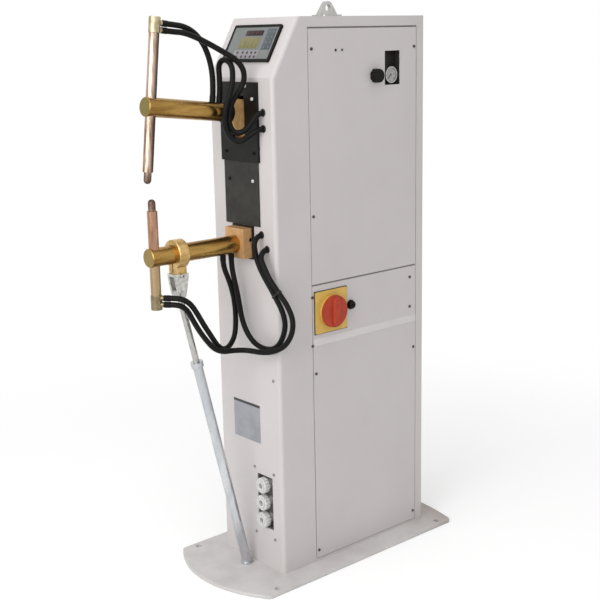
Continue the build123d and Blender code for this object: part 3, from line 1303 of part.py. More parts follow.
with BuildPart() as gauge_needle:
    with BuildSketch(side_plane(dial_x + NEEDLE_CLEAR)):
        with Locations((gauge_y, gauge_z)):
            Circle(NEEDLE_HUB / 2)
            with Locations(Location((0, 0), NEEDLE_ZERO)):
                Rectangle(NEEDLE_LENGTH, NEEDLE_WIDTH, align=(Align.MIN, Align.CENTER))
    extrude(amount=NEEDLE_THICKNESS)
    with BuildSketch(side_plane(dial_x + NEEDLE_CLEAR)):
        with Locations((gauge_y, gauge_z)):
            Circle(NEEDLE_SHAFT / 2)
    extrude(amount=-NEEDLE_SHAFT_DEPTH)
save(gauge_needle.part, "gauge_needle")


def hose(route: list, name: str) -> None:
    """Sweeps a hose along straight runs joined by arcs as large as the runs allow, and writes it."""
    points = [Vector(*point) for point in route]
    radii = []
    for before, corner, after in zip(points, points[1:], points[2:]):
        turn = math.radians((corner - before).get_angle(after - corner))
        shorter = min((corner - before).length, (after - corner).length)
        radii.append(0.45 * shorter / math.tan(turn / 2))
    with BuildPart() as tube:
        with BuildLine() as path:
            FilletPolyline(*points, radius=radii)
        with BuildSketch(Plane(origin=points[0], z_dir=points[1] - points[0])):
            Circle(HOSE_DIAMETER / 2)
        sweep(path=path.wires()[0])
    length = sum(edge.length for edge in path.edges())
    share = tube.part.volume / (length * math.pi * HOSE_DIAMETER**2 / 4)
    print(f"{name}: {length:.0f} mm, volume share {share:.4f}, radii", [round(r) for r in radii])
    save(tube.part, name)


def beside(arm_z: float, *points: tuple) -> list:
    """Points given from the middle of the front wall at an arm's height, in the machine's frame."""
    return [(x, FRONT + y, arm_z + z) for x, y, z in points]


def entry(hole_x: float, hole_z: float, across: float) -> list:
    """The last points of a hose that turns into a hole of the front wall.

    The hose climbs to the hole, and across is the sideways share of its way just before the turn.
    """
    hole = Vector(hole_x, FRONT, hole_z)
    approach = Vector(across, 0, math.sqrt(1 - across**2))
    inward = Vector(0, 1, 0)
    last = hole - inward * ENTRY_STRAIGHT
    before = last - (inward * math.cos(math.pi / 6) + approach * math.sin(math.pi / 6)) * ENTRY_RUN
    first = before - (inward * math.sin(math.pi / 6) + approach * math.cos(math.pi / 6)) * ENTRY_RUN
    return [first, before, last, hole + inward * HOSE_INSIDE]


# Upper hoses: one from head to arm, and one each from head and arm into the cabinet
port_y = ELECTRODE_Y + HEAD_DIAMETER / 2 + NOZZLE_LENGTH
port_low = upper_head_bottom + UPPER_PORT_LOW
port_high = port_low + PORT_PITCH
upper_nozzle_top = upper_seat_z + nozzle_rise
nozzle_ends = [open_point(y, upper_nozzle_top) for y in upper_nozzle_ys]
nozzle_leads = [open_point(y, upper_nozzle_top + HOSE_LEAD) for y in upper_nozzle_ys]
hose(
    [
        open_point(port_y, port_high),
        open_point(port_y + HOSE_LEAD, port_high),
        *beside(
            UPPER_ARM_Z,
            (-1, -141, 191),
            (-3, -114, 180),
            (-4, -91, 158),
            (-4, -76, 128),
            (-2, -70, 95),
        ),
        nozzle_leads[0],
        nozzle_ends[0],
    ],
    "upper_hose_loop",
)
hose(
    [
        open_point(port_y, port_low),
        open_point(port_y + HOSE_LEAD, port_low),
        *beside(
            UPPER_ARM_Z,
            (5, -143, 178),
            (14, -114, 166),
            (25, -86, 150),
            (35, -62, 135),
            (47, -43, 121),
            (53, -29, 101),
            (51, -26, 77),
            (43, -36, 55),
            (35, -48, 35),
            (32, -55, 11),
            (33, -57, -11),
            (38, -51, -28),
            (47, -41, -32),
            (58, -32, -25),
        ),
        *entry(*upper_entries[0], 0.35),
    ],
    "upper_hose_head",
)
hose(
    [
        nozzle_ends[1],
        nozzle_leads[1],
        *beside(
            UPPER_ARM_Z,
            (0, -53, 84),
            (0.5, -55, 108),
            (12.5, -55, 121),
            (29.5, -53, 121),
            (42, -50, 107),
            (42, -50, 79),
            (43, -58, 55),
            (41, -67, 34),
            (37, -71, 11),
            (35, -70, -13),
            (38, -64, -33),
            (45, -56, -46),
            (54, -45, -50),
        ),
        *entry(*upper_entries[1], 0.8),
    ],
    "upper_hose_arm",
)

# Lower hoses: head to arm, head to cabinet and arm to cabinet
port_way = Vector(0, 1, 0).rotate(Axis.Z, LOWER_PORT_TURN - 90)
port_reach = port_way * (HEAD_DIAMETER / 2 + NOZZLE_LENGTH)
lower_port = Vector(0, ELECTRODE_Y, lower_head_bottom + LOWER_PORT_LOW) + port_reach
upper_port = lower_port + Vector(0, 0, PORT_PITCH)
lower_nozzle_z = lower_seat_z - nozzle_rise
hose(
    [
        upper_port,
        upper_port + port_way * HOSE_LEAD,
        *beside(
            LOWER_ARM_Z,
            (44.5, -200.5, -90),
            (51, -187, -102),
            (50, -171, -126),
            (44, -151, -155),
            (36, -128, -184),
            (28, -106, -212),
            (18, -83, -228),
            (7, -56, -227),
            (-4, -32, -209),
            (-9, -24, -173),
            (-8, -27, -129),
            (-5, -41, -84),
        ),
        (0, lower_nozzle_ys[0], lower_nozzle_z - HOSE_LEAD),
        (0, lower_nozzle_ys[0], lower_nozzle_z),
    ],
    "lower_hose_loop",
)
hose(
    [
        lower_port,
        lower_port + port_way * HOSE_LEAD,
        *beside(
            LOWER_ARM_Z,
            (41.5, -201.5, -106),
            (46, -192, -117),
            (44, -181, -136),
            (42, -165, -162),
            (40, -145, -189),
            (39, -124, -213.5),
            (39, -101, -225),
            (42, -75, -226.5),
            (50, -54, -228),
            (66, -42, -229),
            (90, -34, -230),
            (119, -25, -225),
            (145, -13, -211),
            (161, -4, -183),
            (162, 0, -151),
            (148, -3, -121),
            (129, -12, -93),
            (109, -19, -67),
            (95, -22, -42),
        ),
        *entry(*lower_entries[0], -0.3),
    ],
    "lower_hose_head",
)
hose(
    [
        (0, lower_nozzle_ys[1], lower_nozzle_z),
        (0, lower_nozzle_ys[1], lower_nozzle_z - HOSE_LEAD),
        *beside(
            LOWER_ARM_Z,
            (5, -37, -73),
            (10, -33, -104),
            (12, -29, -135),
            (15, -26, -167),
            (27, -22, -199),
            (50, -18, -222),
            (84, -13, -229),
            (115, -11, -220),
            (135, -8, -195),
            (141, -4, -163),
            (133, -6, -133),
            (116, -10, -106),
            (98, -13, -81),
            (82, -17, -57),
            (71, -20, -35),
            (65, -22, -13),
        ),
        *entry(*lower_entries[1], -0.1),
    ],
    "lower_hose_arm",
)
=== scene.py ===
"""Looks of a pneumatic rocker arm spot welder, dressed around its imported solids."""

import logging
import math
from collections.abc import Callable, Sequence
from dataclasses import dataclass, field, replace
from enum import Enum

import bmesh
import bpy
from mathutils import Matrix, Vector


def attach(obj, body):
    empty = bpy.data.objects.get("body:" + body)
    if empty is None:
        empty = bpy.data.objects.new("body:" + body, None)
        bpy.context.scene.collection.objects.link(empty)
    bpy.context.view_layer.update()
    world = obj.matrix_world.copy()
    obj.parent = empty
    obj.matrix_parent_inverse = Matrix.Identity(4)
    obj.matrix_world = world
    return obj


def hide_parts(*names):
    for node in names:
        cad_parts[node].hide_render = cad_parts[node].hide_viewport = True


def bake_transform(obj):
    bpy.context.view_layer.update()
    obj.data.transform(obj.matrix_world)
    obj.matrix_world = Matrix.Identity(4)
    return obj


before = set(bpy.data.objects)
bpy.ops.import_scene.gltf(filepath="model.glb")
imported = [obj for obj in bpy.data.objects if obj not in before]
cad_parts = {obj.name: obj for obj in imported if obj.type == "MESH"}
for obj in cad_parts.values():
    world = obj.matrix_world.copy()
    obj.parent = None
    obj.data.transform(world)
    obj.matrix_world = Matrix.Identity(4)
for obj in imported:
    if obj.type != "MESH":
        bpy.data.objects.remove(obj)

LOG = logging.getLogger("welder")
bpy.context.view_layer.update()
MM = 0.001
WELD_DISTANCE = 1e-6
SHARP_ANGLE = math.radians(32)
CORNER_SEGMENTS = 5
EDGE_SEGMENTS = 2
ROUND_SIDES = 32
SMALL_SIDES = 24
DIAL_SIDES = 48
TRIM_CORNER = 0.3
PRINT_DEPTH = 0.05
CLOUD_DETAIL = 5.0
CLOUD_BREAK = 0.62
CLOUD_CORE = (0.3, 0.7)
GRAIN_DETAIL = 2.0
EDGE_SAMPLES = 4
MIX_COLOURS = (6, 7)
MIX_RESULT = 2
ACRYLIC_IOR = 1.49
SIDE_FACE = 110.0
END_FACE = 230.0

Mesh = bmesh.types.BMesh
Tree = bpy.types.NodeTree
Socket = bpy.types.NodeSocket
Point = tuple[float, float, float]
Spot = tuple[float, float]
Area = tuple[float, float, float, float]
Form = tuple[float, float, float, float, float]
Profile = tuple[Spot, ...]

ALONG_Y: Point = (0.0, 1.0, 0.0)
UP: Point = (0.0, 0.0, 1.0)
FRONT_OUT: Point = (0.0, -1.0, 0.0)
REAR_OUT: Point = (0.0, 1.0, 0.0)
RIGHT_OUT: Point = (1.0, 0.0, 0.0)
LEFT_OUT: Point = (-1.0, 0.0, 0.0)
# A pan head's outline from its rim to the bottom of its socket, in shares of its radius and height.
PAN_OUTLINE: Profile = ((1.0, 0.35), (0.92, 0.75), (0.68, 1.0), (0.42, 1.0), (0.3864, 0.35), (0.0, 0.3))
PAN_UNDER = -0.3
# Where a value starts and ends to show an edge mark (wear, and painted shade on the red handle's rim) or a
# gap, and the mark's share at each.
EDGE_WEAR_AND_SHADE_SPAN: Area = (0.99, 0.8, 0.0, 0.7)
GAP_SPAN: Area = (0.0, 0.25, 0.8, 0.0)


class Body(Enum):
    """The bodies of the machine that carry new pieces."""

    FRAME = "frame"
    ROCKER = "rocker"


class Slot(Enum):
    """The material slots of the part's record."""

    COATED = "coated_sheet"
    BLACK = "black_plastic"
    FILM = "keypad_film"
    WHITE = "white_plastic"
    ZINC = "zinc_steel"
    ALUMINIUM = "aluminium"
    RED = "red_plastic"
    RUBBER = "hose_rubber"


def linear(code: str) -> tuple[float, float, float, float]:
    """Turns an sRGB hex colour into linear values.

    Args:
        code: Six hex digits after a hash.

    Returns:
        Red, green and blue in linear light, and an alpha of 1.
    """
    parts = [int(code[at:at + 2], 16) / 255 for at in (1, 3, 5)]
    light = [((p + 0.055) / 1.055) ** 2.4 if p > 0.04045 else p / 12.92 for p in parts]
    return light[0], light[1], light[2], 1.0


def per_metre(size_mm: float) -> float:
    """Gives the scale of a pattern whose features are size_mm across."""
    return 1.0 / (size_mm * MM)


def add_node(tree: Tree, kind: str, inputs: dict | None = None, **settings: object) -> bpy.types.Node:
    """Adds a node with its settings, constants and links.

    Args:
        tree: The node tree.
        kind: The shader node's type.
        inputs: A constant, or another node's output, for each named or numbered input.
        settings: The node's own properties.

    Returns:
        The new node.
    """
    node = tree.nodes.new("ShaderNode" + kind)
    for name, value in settings.items():
        setattr(node, name, value)
    for key, value in (inputs or {}).items():
        if isinstance(value, Socket):
            tree.links.new(value, node.inputs[key])
        else:
            node.inputs[key].default_value = value
    return node


def laid_over(tree: Tree, value: Socket, span: Area, first: Socket | tuple, second: str) -> Socket:
    """Lays a second colour over a first one while a value goes through a span.

    Args:
        tree: The node tree.
        value: The value that decides.
        span: Where the value starts and ends, and the second colour's share at each.
        first: The first colour.
        second: The second colour, in hex.

    Returns:
        The mixed colour.
    """
    ends = dict(zip(("From Min", "From Max", "To Min", "To Max"), span))
    share = add_node(tree, "MapRange", {"Value": value, **ends})
    colours = dict(zip(MIX_COLOURS, (first, linear(second))))
    mixed = add_node(tree, "Mix", {0: share.outputs[0], **colours}, data_type="RGBA")
    return mixed.outputs[MIX_RESULT]


@dataclass(frozen=True)
class Finish:
    """A surface: its two colours, its gloss, its relief and its edges.

    Attributes:
        name: The material's common name.
        colour: Its main colour.
        patch_colour: The colour of its cloudy patches.
        patch_mm: How large the patches are.
        rough: The lowest and highest roughness.
        grain_mm: The spacing of the fine relief.
        grain_depth_mm: The height of the fine relief.
        metallic: 1 for a bare metal.
        stretch: How the patterns are squeezed along each axis.
        edge_mm: The radius of a softened edge.
        edge_colour: The colour that shows along an edge: wear on most finishes, painted shade on the red
            handle's rim.
        patch_range: The part of the cloud that the patches take.
        mirror: How strongly a surface that isn't metal mirrors: 0.5 for a clean moulding, less when dull.
    """

    name: str
    colour: str
    patch_colour: str
    patch_mm: float
    rough: Spot
    grain_mm: float
    grain_depth_mm: float
    metallic: float = 0.0
    stretch: Point = (1.0, 1.0, 1.0)
    edge_mm: float = 0.4
    edge_colour: str = ""
    patch_range: Spot = (0.4, 0.66)
    mirror: float = 0.5

    def material(self) -> bpy.types.Material:
        """Gives the finish's material, made on first use."""
        return bpy.data.materials.get(self.name) or self.mix()

    def mix(self) -> bpy.types.Material:
        """Builds the node tree of the finish.

        Returns:
            The new material.
        """
        made = bpy.data.materials.new(self.name)
        made.use_nodes = True
        tree = made.node_tree
        tree.nodes.clear()
        place = add_node(tree, "TexCoord").outputs["Object"]
        spot = add_node(tree, "Mapping", {"Vector": place, "Scale": self.stretch}).outputs[0]
        cloud = add_node(
            tree, "TexNoise",
            {"Vector": spot, "Scale": per_metre(self.patch_mm), "Detail": CLOUD_DETAIL,
             "Roughness": CLOUD_BREAK},
        ).outputs[0]
        soft = add_node(tree, "Bevel", {"Radius": self.edge_mm * MM}, samples=EDGE_SAMPLES).outputs[0]
        tint = laid_over(tree, cloud, (*self.patch_range, 0.0, 1.0), linear(self.colour), self.patch_colour)
        colour = self.worn(tree, self.marked(tree, place, tint), soft)
        gloss = add_node(
            tree, "MapRange",
            {"Value": cloud, "From Min": CLOUD_CORE[0], "From Max": CLOUD_CORE[1],
             "To Min": self.rough[0], "To Max": self.rough[1]},
        )
        grain = add_node(
            tree, "TexNoise",
            {"Vector": spot, "Scale": per_metre(self.grain_mm), "Detail": GRAIN_DETAIL},
        )
        relief = add_node(
            tree, "Bump",
            {"Height": grain.outputs[0], "Distance": self.grain_depth_mm * MM, "Normal": soft},
        )
        shader = add_node(
            tree, "BsdfPrincipled",
            {"Base Color": colour, "Roughness": gloss.outputs[0], "Normal": relief.outputs[0],
             "Metallic": self.metallic, "Specular IOR Level": self.mirror},
        )
        self.last_touch(shader)
        add_node(tree, "OutputMaterial", {"Surface": shader.outputs[0]})
        return made

    def marked(self, tree: Tree, place: Socket, colour: Socket) -> Socket:
        """Gives the colour as it is: a plain finish has no further marks."""
        return colour

    def worn(self, tree: Tree, colour: Socket, soft: Socket) -> Socket:
        """Lets the edge colour show where the softened normal leaves the face's own.

        Args:
            tree: The node tree.
            colour: The colour of the faces.
            soft: The normal with softened edges.

        Returns:
            The colour with its edge marks: wear, and painted shade on the red handle's rim.
        """
        if not self.edge_colour:
            return colour
        face = add_node(tree, "NewGeometry").outputs["Normal"]
        along = add_node(tree, "VectorMath", {0: soft, 1: face}, operation="DOT_PRODUCT")
        return laid_over(tree, along.outputs["Value"], EDGE_WEAR_AND_SHADE_SPAN, colour, self.edge_colour)

    def last_touch(self, shader: bpy.types.Node) -> None:
        """Leaves the shader's other sockets at their defaults."""


@dataclass(frozen=True)
class Stacked(Finish):
    """A finish in thin sheets, such as core laminations or coil turns, stacked along one axis."""

    sheet_mm: float = 2.0
    gap_colour: str = "#1A1918"
    axis: str = "Y"
    waves: float = 20.0

    def marked(self, tree: Tree, place: Socket, colour: Socket) -> Socket:
        """Draws a dark line between the sheets."""
        bands = add_node(
            tree, "TexWave", {"Vector": place, "Scale": per_metre(self.sheet_mm) / self.waves},
            bands_direction=self.axis,
        )
        return laid_over(tree, bands.outputs[1], GAP_SPAN, colour, self.gap_colour)


@dataclass(frozen=True)
class Tinted(Finish):
    """A surface whose colour changes between two places along one direction."""

    far_colour: str = "#3B2A26"
    near_mm: float = 0.0
    far_mm: float = 0.0
    far_share: float = 0.75
    direction: Point = UP

    def marked(self, tree: Tree, place: Socket, colour: Socket) -> Socket:
        """Blends the far colour in between the near place and the far one."""
        along = add_node(tree, "VectorMath", {0: place, 1: self.direction}, operation="DOT_PRODUCT")
        return laid_over(
            tree, along.outputs["Value"], (self.near_mm * MM, self.far_mm * MM, 0.0, self.far_share),
            colour, self.far_colour,
        )


@dataclass(frozen=True)
class Clear(Finish):
    """A clear moulding that light passes through."""

    def last_touch(self, shader: bpy.types.Node) -> None:
        """Lets light through."""
        shader.inputs["Transmission Weight"].default_value = 1.0
        shader.inputs["IOR"].default_value = ACRYLIC_IOR


@dataclass(frozen=True)
class Lit(Finish):
    """A display segment with a faint glow of its own."""

    glow: float = 0.3

    def last_touch(self, shader: bpy.types.Node) -> None:
        """Adds the glow."""
        shader.inputs["Emission Color"].default_value = linear(self.colour)
        shader.inputs["Emission Strength"].default_value = self.glow


# Powder coat on folded steel: pale warm grey, half gloss, a faint orange peel that breaks reflections.
COAT = Finish("powder_coat_grey", "#CEC9C8", "#CAC5C4", 260.0, (0.36, 0.4), 2.6, 0.03, edge_mm=0.8)
# The same coat on a folded lip, painted paler as a highlight.
COAT_PAINTED_HIGHLIGHT = Finish("powder_coat_painted_highlight", "#DAD6D5", "#D5D1D0", 60.0, (0.34, 0.4), 2.6, 0.03, edge_mm=0.8)
# The coat on the thick plate, painted darker and browner towards the rear as shade.
BASE_COAT_REAR_SHADE = Tinted("powder_coat_plate_rear_shade", "#D0CDCC", "#C4C0BF", 90.0, (0.46, 0.58), 2.6, 0.03, edge_mm=0.9,
                   far_colour="#A0958F", near_mm=150.0, far_mm=290.0, far_share=0.8, direction=ALONG_Y)
# Phenolic paper laminate, sawn from board: near black, satin, with a cloudy paper figure.
BOARD = Finish("phenolic_board", "#151412", "#100F0E", 22.0, (0.36, 0.48), 0.9, 0.012,
               edge_colour="#3A3832", mirror=0.2)
BOARD_PALE = Finish("phenolic_board_grey", "#34332F", "#2B2A28", 24.0, (0.36, 0.48), 0.9, 0.012,
                    edge_colour="#5C5A54", mirror=0.2)
# Hard-drawn bronze bar: golden, brown tarnish in streaks along it, fine drawing lines, a dull sawn end.
LOWER_BAR = Tinted("drawn_bronze_lower", "#B08C4E", "#866432", 16.0, (0.18, 0.32), 1.4, 0.012, 1.0,
                   (1.0, 0.12, 1.0), 0.8, "#DCBB78", far_colour="#9C8854", near_mm=-484.0, far_mm=-484.6,
                   far_share=0.9, direction=ALONG_Y)
UPPER_BAR = replace(LOWER_BAR, name="drawn_bronze_upper", far_colour="#857A48", near_mm=-594.1,
                    far_mm=-594.7, direction=(0.0, 0.9936, -0.1132))
# Cast bronze, machined on its faces: an oxide film makes it duller and paler than the bar.
CASTING = Finish("cast_bronze", "#EBBE80", "#D0A062", 16.0, (0.44, 0.58), 1.6, 0.03, 0.12, edge_mm=1.0,
                 edge_colour="#DDBB7C")
# The clamp round the arm: cast, then turned and polished, so brighter than the lever.
COLLAR = Finish("turned_bronze", "#DEBD82", "#B19058", 14.0, (0.32, 0.46), 1.4, 0.02, 1.0, edge_mm=1.0,
                edge_colour="#DDBB7C")
# Brass holder heads: paler than the bronze, with a milled sheen; the lower one has dulled.
HEAD = Finish("milled_brass", "#C4B697", "#9C8C6C", 14.0, (0.26, 0.42), 1.0, 0.012, 1.0, edge_mm=0.8,
              edge_colour="#E2D6BA")
HEAD_DULL = Finish("milled_brass_dull", "#958769", "#756A50", 14.0, (0.3, 0.46), 1.0, 0.012, 1.0,
                   edge_mm=0.8, edge_colour="#B5A785")
# Machined copper alloy block: pinkish gold, with milling haze and handling marks.
BLOCK = Finish("milled_copper_alloy", "#D6A975", "#BE9662", 18.0, (0.44, 0.58), 1.2, 0.015, 0.45,
               edge_mm=1.0, edge_colour="#E0B889")
# Copper alloy holder with worn silver plate: pale beige pink, brown streaks along it, glossy, and a dark
# brown painted shade down one side.
COPPER_SIDE_SHADE = Tinted("plated_copper_side_shade", "#C6B0A1", "#8C6F5E", 11.0, (0.18, 0.32), 1.0, 0.012, 1.0,
                (1.0, 1.0, 0.12), 0.6, "#DDC8B8", (0.46, 0.62), far_colour="#4A3628", near_mm=-460.8,
                far_mm=-456.6, far_share=0.85, direction=(0.6, 0.7949, -0.0906))
# The lower holder: brownish copper above the arm, a yellower brass extension below it.
LOWER_HOLDER = Tinted("copper_and_brass", "#BE967C", "#86614E", 12.0, (0.22, 0.38), 1.0, 0.012, 1.0,
                      (1.0, 1.0, 0.15), 0.6, "#D9B99C", far_colour="#B09A76", near_mm=756.0, far_mm=752.0,
                      far_share=0.8)
# Electrode copper: heat has browned it towards the face.
LOWER_TIP = Tinted("electrode_copper_lower", "#90766A", "#685044", 9.0, (0.3, 0.48), 0.9, 0.015, 1.0,
                   edge_mm=0.6, near_mm=868.0, far_mm=897.0)
UPPER_TIP = Tinted("electrode_copper_upper", "#A28C7C", "#766250", 9.0, (0.3, 0.48), 0.9, 0.015, 1.0,
                   edge_mm=0.6, near_mm=962.0, far_mm=926.0)
# Bright zinc plate on steel: pale grey metal with a soft cloudy sheen.
ZINC = Finish("zinc_plated_steel", "#C2C1BE", "#B0AFAC", 12.0, (0.26, 0.4), 0.8, 0.01, 1.0, edge_mm=0.5,
              edge_colour="#E2E0DC")
# Zinc cast in a rough mould: pale, dull and mottled.
CAST_ZINC = Finish("cast_zinc", "#DAD9D4", "#B8B7B2", 7.0, (0.4, 0.56), 1.2, 0.03, 1.0, edge_mm=0.6,
                   edge_colour="#C9C8C4")
# Screws blackened in oil and worn: dark brown grey, half gloss.
OXIDE = Finish("black_oxide_steel", "#645E5A", "#4E4946", 3.0, (0.32, 0.46), 0.6, 0.008, 1.0, edge_mm=0.3)
# Plated screws dulled by handling: mid grey brown.
DULL_STEEL = Finish("dulled_steel", "#A09B97", "#8A8581", 3.0, (0.34, 0.48), 0.6, 0.008, 1.0, edge_mm=0.3)
# The strut's tube: pale galvanised steel with a blue cast, drawn along its length.
TUBE = Finish("galvanised_tube", "#D0D2D5", "#B4B7BC", 30.0, (0.24, 0.38), 1.2, 0.015, 1.0,
              (1.0, 1.0, 0.25), 0.6)
# Extruded aluminium: even pale metal, faint lines.
ALUMINIUM = Finish("extruded_aluminium", "#C8C8C6", "#B0B0AE", 20.0, (0.32, 0.44), 0.8, 0.01, 1.0)
# Silicon steel laminations with varnished edges: grey bands, drawn coarser than real so that they show.
CORE = Stacked("core_laminations", "#6C6A68", "#565452", 14.0, (0.4, 0.55), 0.8, 0.02, 1.0, sheet_mm=3.0)
# Coil turns of enamelled copper strip: red brown, half gloss, a dark line between the turns.
COIL = Stacked("coil_turns", "#9A5A34", "#7E4526", 10.0, (0.35, 0.5), 0.8, 0.02, 1.0, sheet_mm=5.0,
               axis="Z")
# Moulded ABS: near black, spark-eroded texture that dulls it.
ABS = Finish("moulded_abs_black", "#121211", "#191817", 18.0, (0.4, 0.54), 0.7, 0.02, edge_mm=0.5,
             edge_colour="#1F1E1D", mirror=0.12)
ABS_GREY = Finish("moulded_abs_grey", "#383432", "#302D2B", 12.0, (0.4, 0.54), 0.7, 0.02, edge_mm=0.5,
                  mirror=0.2)
# Printed polyester film over the keys: grey, satin, very even.
FILM = Finish("polyester_film_grey", "#767A78", "#6E7270", 40.0, (0.3, 0.38), 0.8, 0.004)
FILM_OLIVE = Finish("polyester_film_olive", "#7C764A", "#746E44", 18.0, (0.3, 0.38), 0.8, 0.004)
FILM_PALE = Finish("polyester_film_pale", "#938E92", "#8A8589", 18.0, (0.3, 0.38), 0.8, 0.004)
FILM_DARK = Finish("polyester_film_dark", "#3A3B3C", "#333435", 18.0, (0.3, 0.4), 0.8, 0.004)
FILM_SLATE = Finish("polyester_film_slate", "#474F55", "#424A4F", 18.0, (0.3, 0.38), 0.8, 0.004)
FILM_BROWN = Finish("polyester_film_brown", "#6E6738", "#655F33", 18.0, (0.3, 0.38), 0.8, 0.004)
# Red acrylic window over the digits: dark, glossy; the bars behind it glow a little.
WINDOW = Finish("red_acrylic", "#241012", "#200E10", 20.0, (0.1, 0.16), 2.0, 0.003, mirror=0.3)
SEGMENT = Lit("display_segment", "#662824", "#5E2420", 4.0, (0.3, 0.4), 1.0, 0.004, glow=0.05)
# Moulded nylon: off-white, satin, slightly cloudy.
NYLON = Finish("moulded_nylon_white", "#D9D8D6", "#CFCECD", 8.0, (0.36, 0.48), 0.7, 0.015, edge_mm=0.6)
# The coat of the tray, painted darker inside as shade in the recess.
TRAY_COAT_INNER_SHADE = Tinted("powder_coat_tray_inner_shade", "#CEC9C8", "#CAC5C4", 260.0, (0.36, 0.4), 2.6, 0.03, edge_mm=0.8,
                   far_colour="#6C6967", near_mm=-230.4, far_mm=-229.6, far_share=1.0, direction=ALONG_Y)
# Main switch mouldings: warm yellow plate and a brick red handle.
YELLOW = Finish("moulded_pbt_yellow", "#DDB95F", "#D4AE56", 26.0, (0.36, 0.46), 0.8, 0.015, edge_mm=1.0,
                edge_colour="#A98A3A", mirror=0.35)
# The handle's dark red edge colour, spread over its wide rounded rim, is painted shade.
RED = Finish("moulded_pbt_red", "#B9442C", "#AD3C27", 16.0, (0.3, 0.42), 0.8, 0.015, edge_mm=2.2,
             edge_colour="#7C2A15", mirror=0.25)
# Braided rubber hose with a smooth cover: black, dull, dusty grey bloom.
RUBBER = Finish("hose_rubber_black", "#0F0E0E", "#161514", 14.0, (0.4, 0.54), 1.0, 0.02, mirror=0.13)
# Cable ties and grommets, moulded in black nylon and soft rubber: near black, half gloss.
TIE = Finish("nylon_tie_black", "#191918", "#222120", 6.0, (0.3, 0.4), 0.6, 0.01, mirror=0.25)
# Gauge: pale enamelled dial, dull black print, clear glossy lens.
DIAL = Finish("dial_enamel", "#B2ADAA", "#A9A4A1", 10.0, (0.35, 0.45), 0.6, 0.003)
INK = Finish("printing_ink", "#201F1E", "#292827", 6.0, (0.4, 0.5), 0.5, 0.003)
LENS = Clear("acrylic_lens", "#FFFFFF", "#FAFAFA", 30.0, (0.02, 0.05), 3.0, 0.001, edge_mm=0.2)
# Lamp lenses in the cover, unlit: smoked plastic, one nearly black.
LENS_BLACK = Finish("lamp_lens_black", "#262725", "#2C2D2B", 3.0, (0.12, 0.2), 0.6, 0.004, mirror=0.3)
LENS_SMOKE = Finish("lamp_lens_smoke", "#5E5A58", "#555150", 3.0, (0.12, 0.2), 0.6, 0.004, mirror=0.3)
# Rubber beads in the seams of the covers: mid grey, dull, darker than the coat as painted shade in the
# seams.
SEAM_SHADE = Finish("seam_shade_grey", "#868280", "#7C7876", 20.0, (0.5, 0.6), 0.8, 0.01, mirror=0.2)
# Anodised plate without any print: pale grey, satin.
PLATE = Finish("anodised_plate", "#A2A4A9", "#98999E", 30.0, (0.34, 0.42), 0.6, 0.004, 0.4)


@dataclass(frozen=True)
class Seat:
    """A place on the machine: an origin in mm, the way out of the surface and the way up on it."""

    origin: Point
    out: Point
    up: Point = UP

    def matrix(self, across: float = 0.0, rise: float = 0.0, turn: float = 0.0) -> Matrix:
        """Gives the transform that puts a shape made on the XY plane here.

        Args:
            across: How far to the right of the origin, in mm.
            rise: How far up from the origin, in mm.
            turn: A turn about the way out, in degrees.

        Returns:
            The transform, in metres.
        """
        out = Vector(self.out).normalized()
        up = Vector(self.up)
        up = (up - out * up.dot(out)).normalized()
        right = up.cross(out)
        at = (Vector(self.origin) + right * across + up * rise) * MM
        turned = Matrix((right, up, out)).transposed().to_4x4()
        return Matrix.Translation(at) @ turned @ Matrix.Rotation(math.radians(turn), 4, "Z")

    def places(self, spots: Sequence[tuple[float, ...]]) -> list[Matrix]:
        """Gives the transforms at several spots, each how far across and up, with or without a turn."""
        return [self.matrix(*spot) for spot in spots]


def crossings(columns: Sequence[float], rows: Sequence[float]) -> list[Spot]:
    """Gives the spots where columns and rows cross."""
    return [(across, rise) for rise in rows for across in columns]


def side_seat(face: float, area: Area) -> Seat:
    """Gives the seat in the middle of an area on the switch side, face mm out."""
    near, far, low, high = area
    return Seat((face, (near + far) / 2, (low + high) / 2), RIGHT_OUT)


def lathe(profile: Sequence[Spot], steps: int = ROUND_SIDES) -> Mesh:
    """Spins a profile about the Z axis.

    Args:
        profile: Radius and height of each point, in mm.
        steps: The number of sides.

    Returns:
        The turned shape.
    """
    mesh = bmesh.new()
    corners = [mesh.verts.new((radius * MM, 0.0, height * MM)) for radius, height in profile]
    edges = [mesh.edges.new(pair) for pair in zip(corners, corners[1:])]
    bmesh.ops.spin(
        mesh, geom=corners + edges, cent=(0, 0, 0), axis=UP, angle=math.tau, steps=steps, use_merge=True
    )
    bmesh.ops.remove_doubles(mesh, verts=mesh.verts, dist=WELD_DISTANCE)
    bmesh.ops.recalc_face_normals(mesh, faces=mesh.faces)
    return mesh


def rounded(mesh: Mesh, edges: list[bmesh.types.BMEdge], radius: float, segments: int) -> None:
    """Rounds edges by a radius in mm."""
    bmesh.ops.bevel(
        mesh, geom=edges, offset=radius * MM, offset_type="OFFSET", segments=segments, profile=0.5,
        affect="EDGES", material=-1,
    )


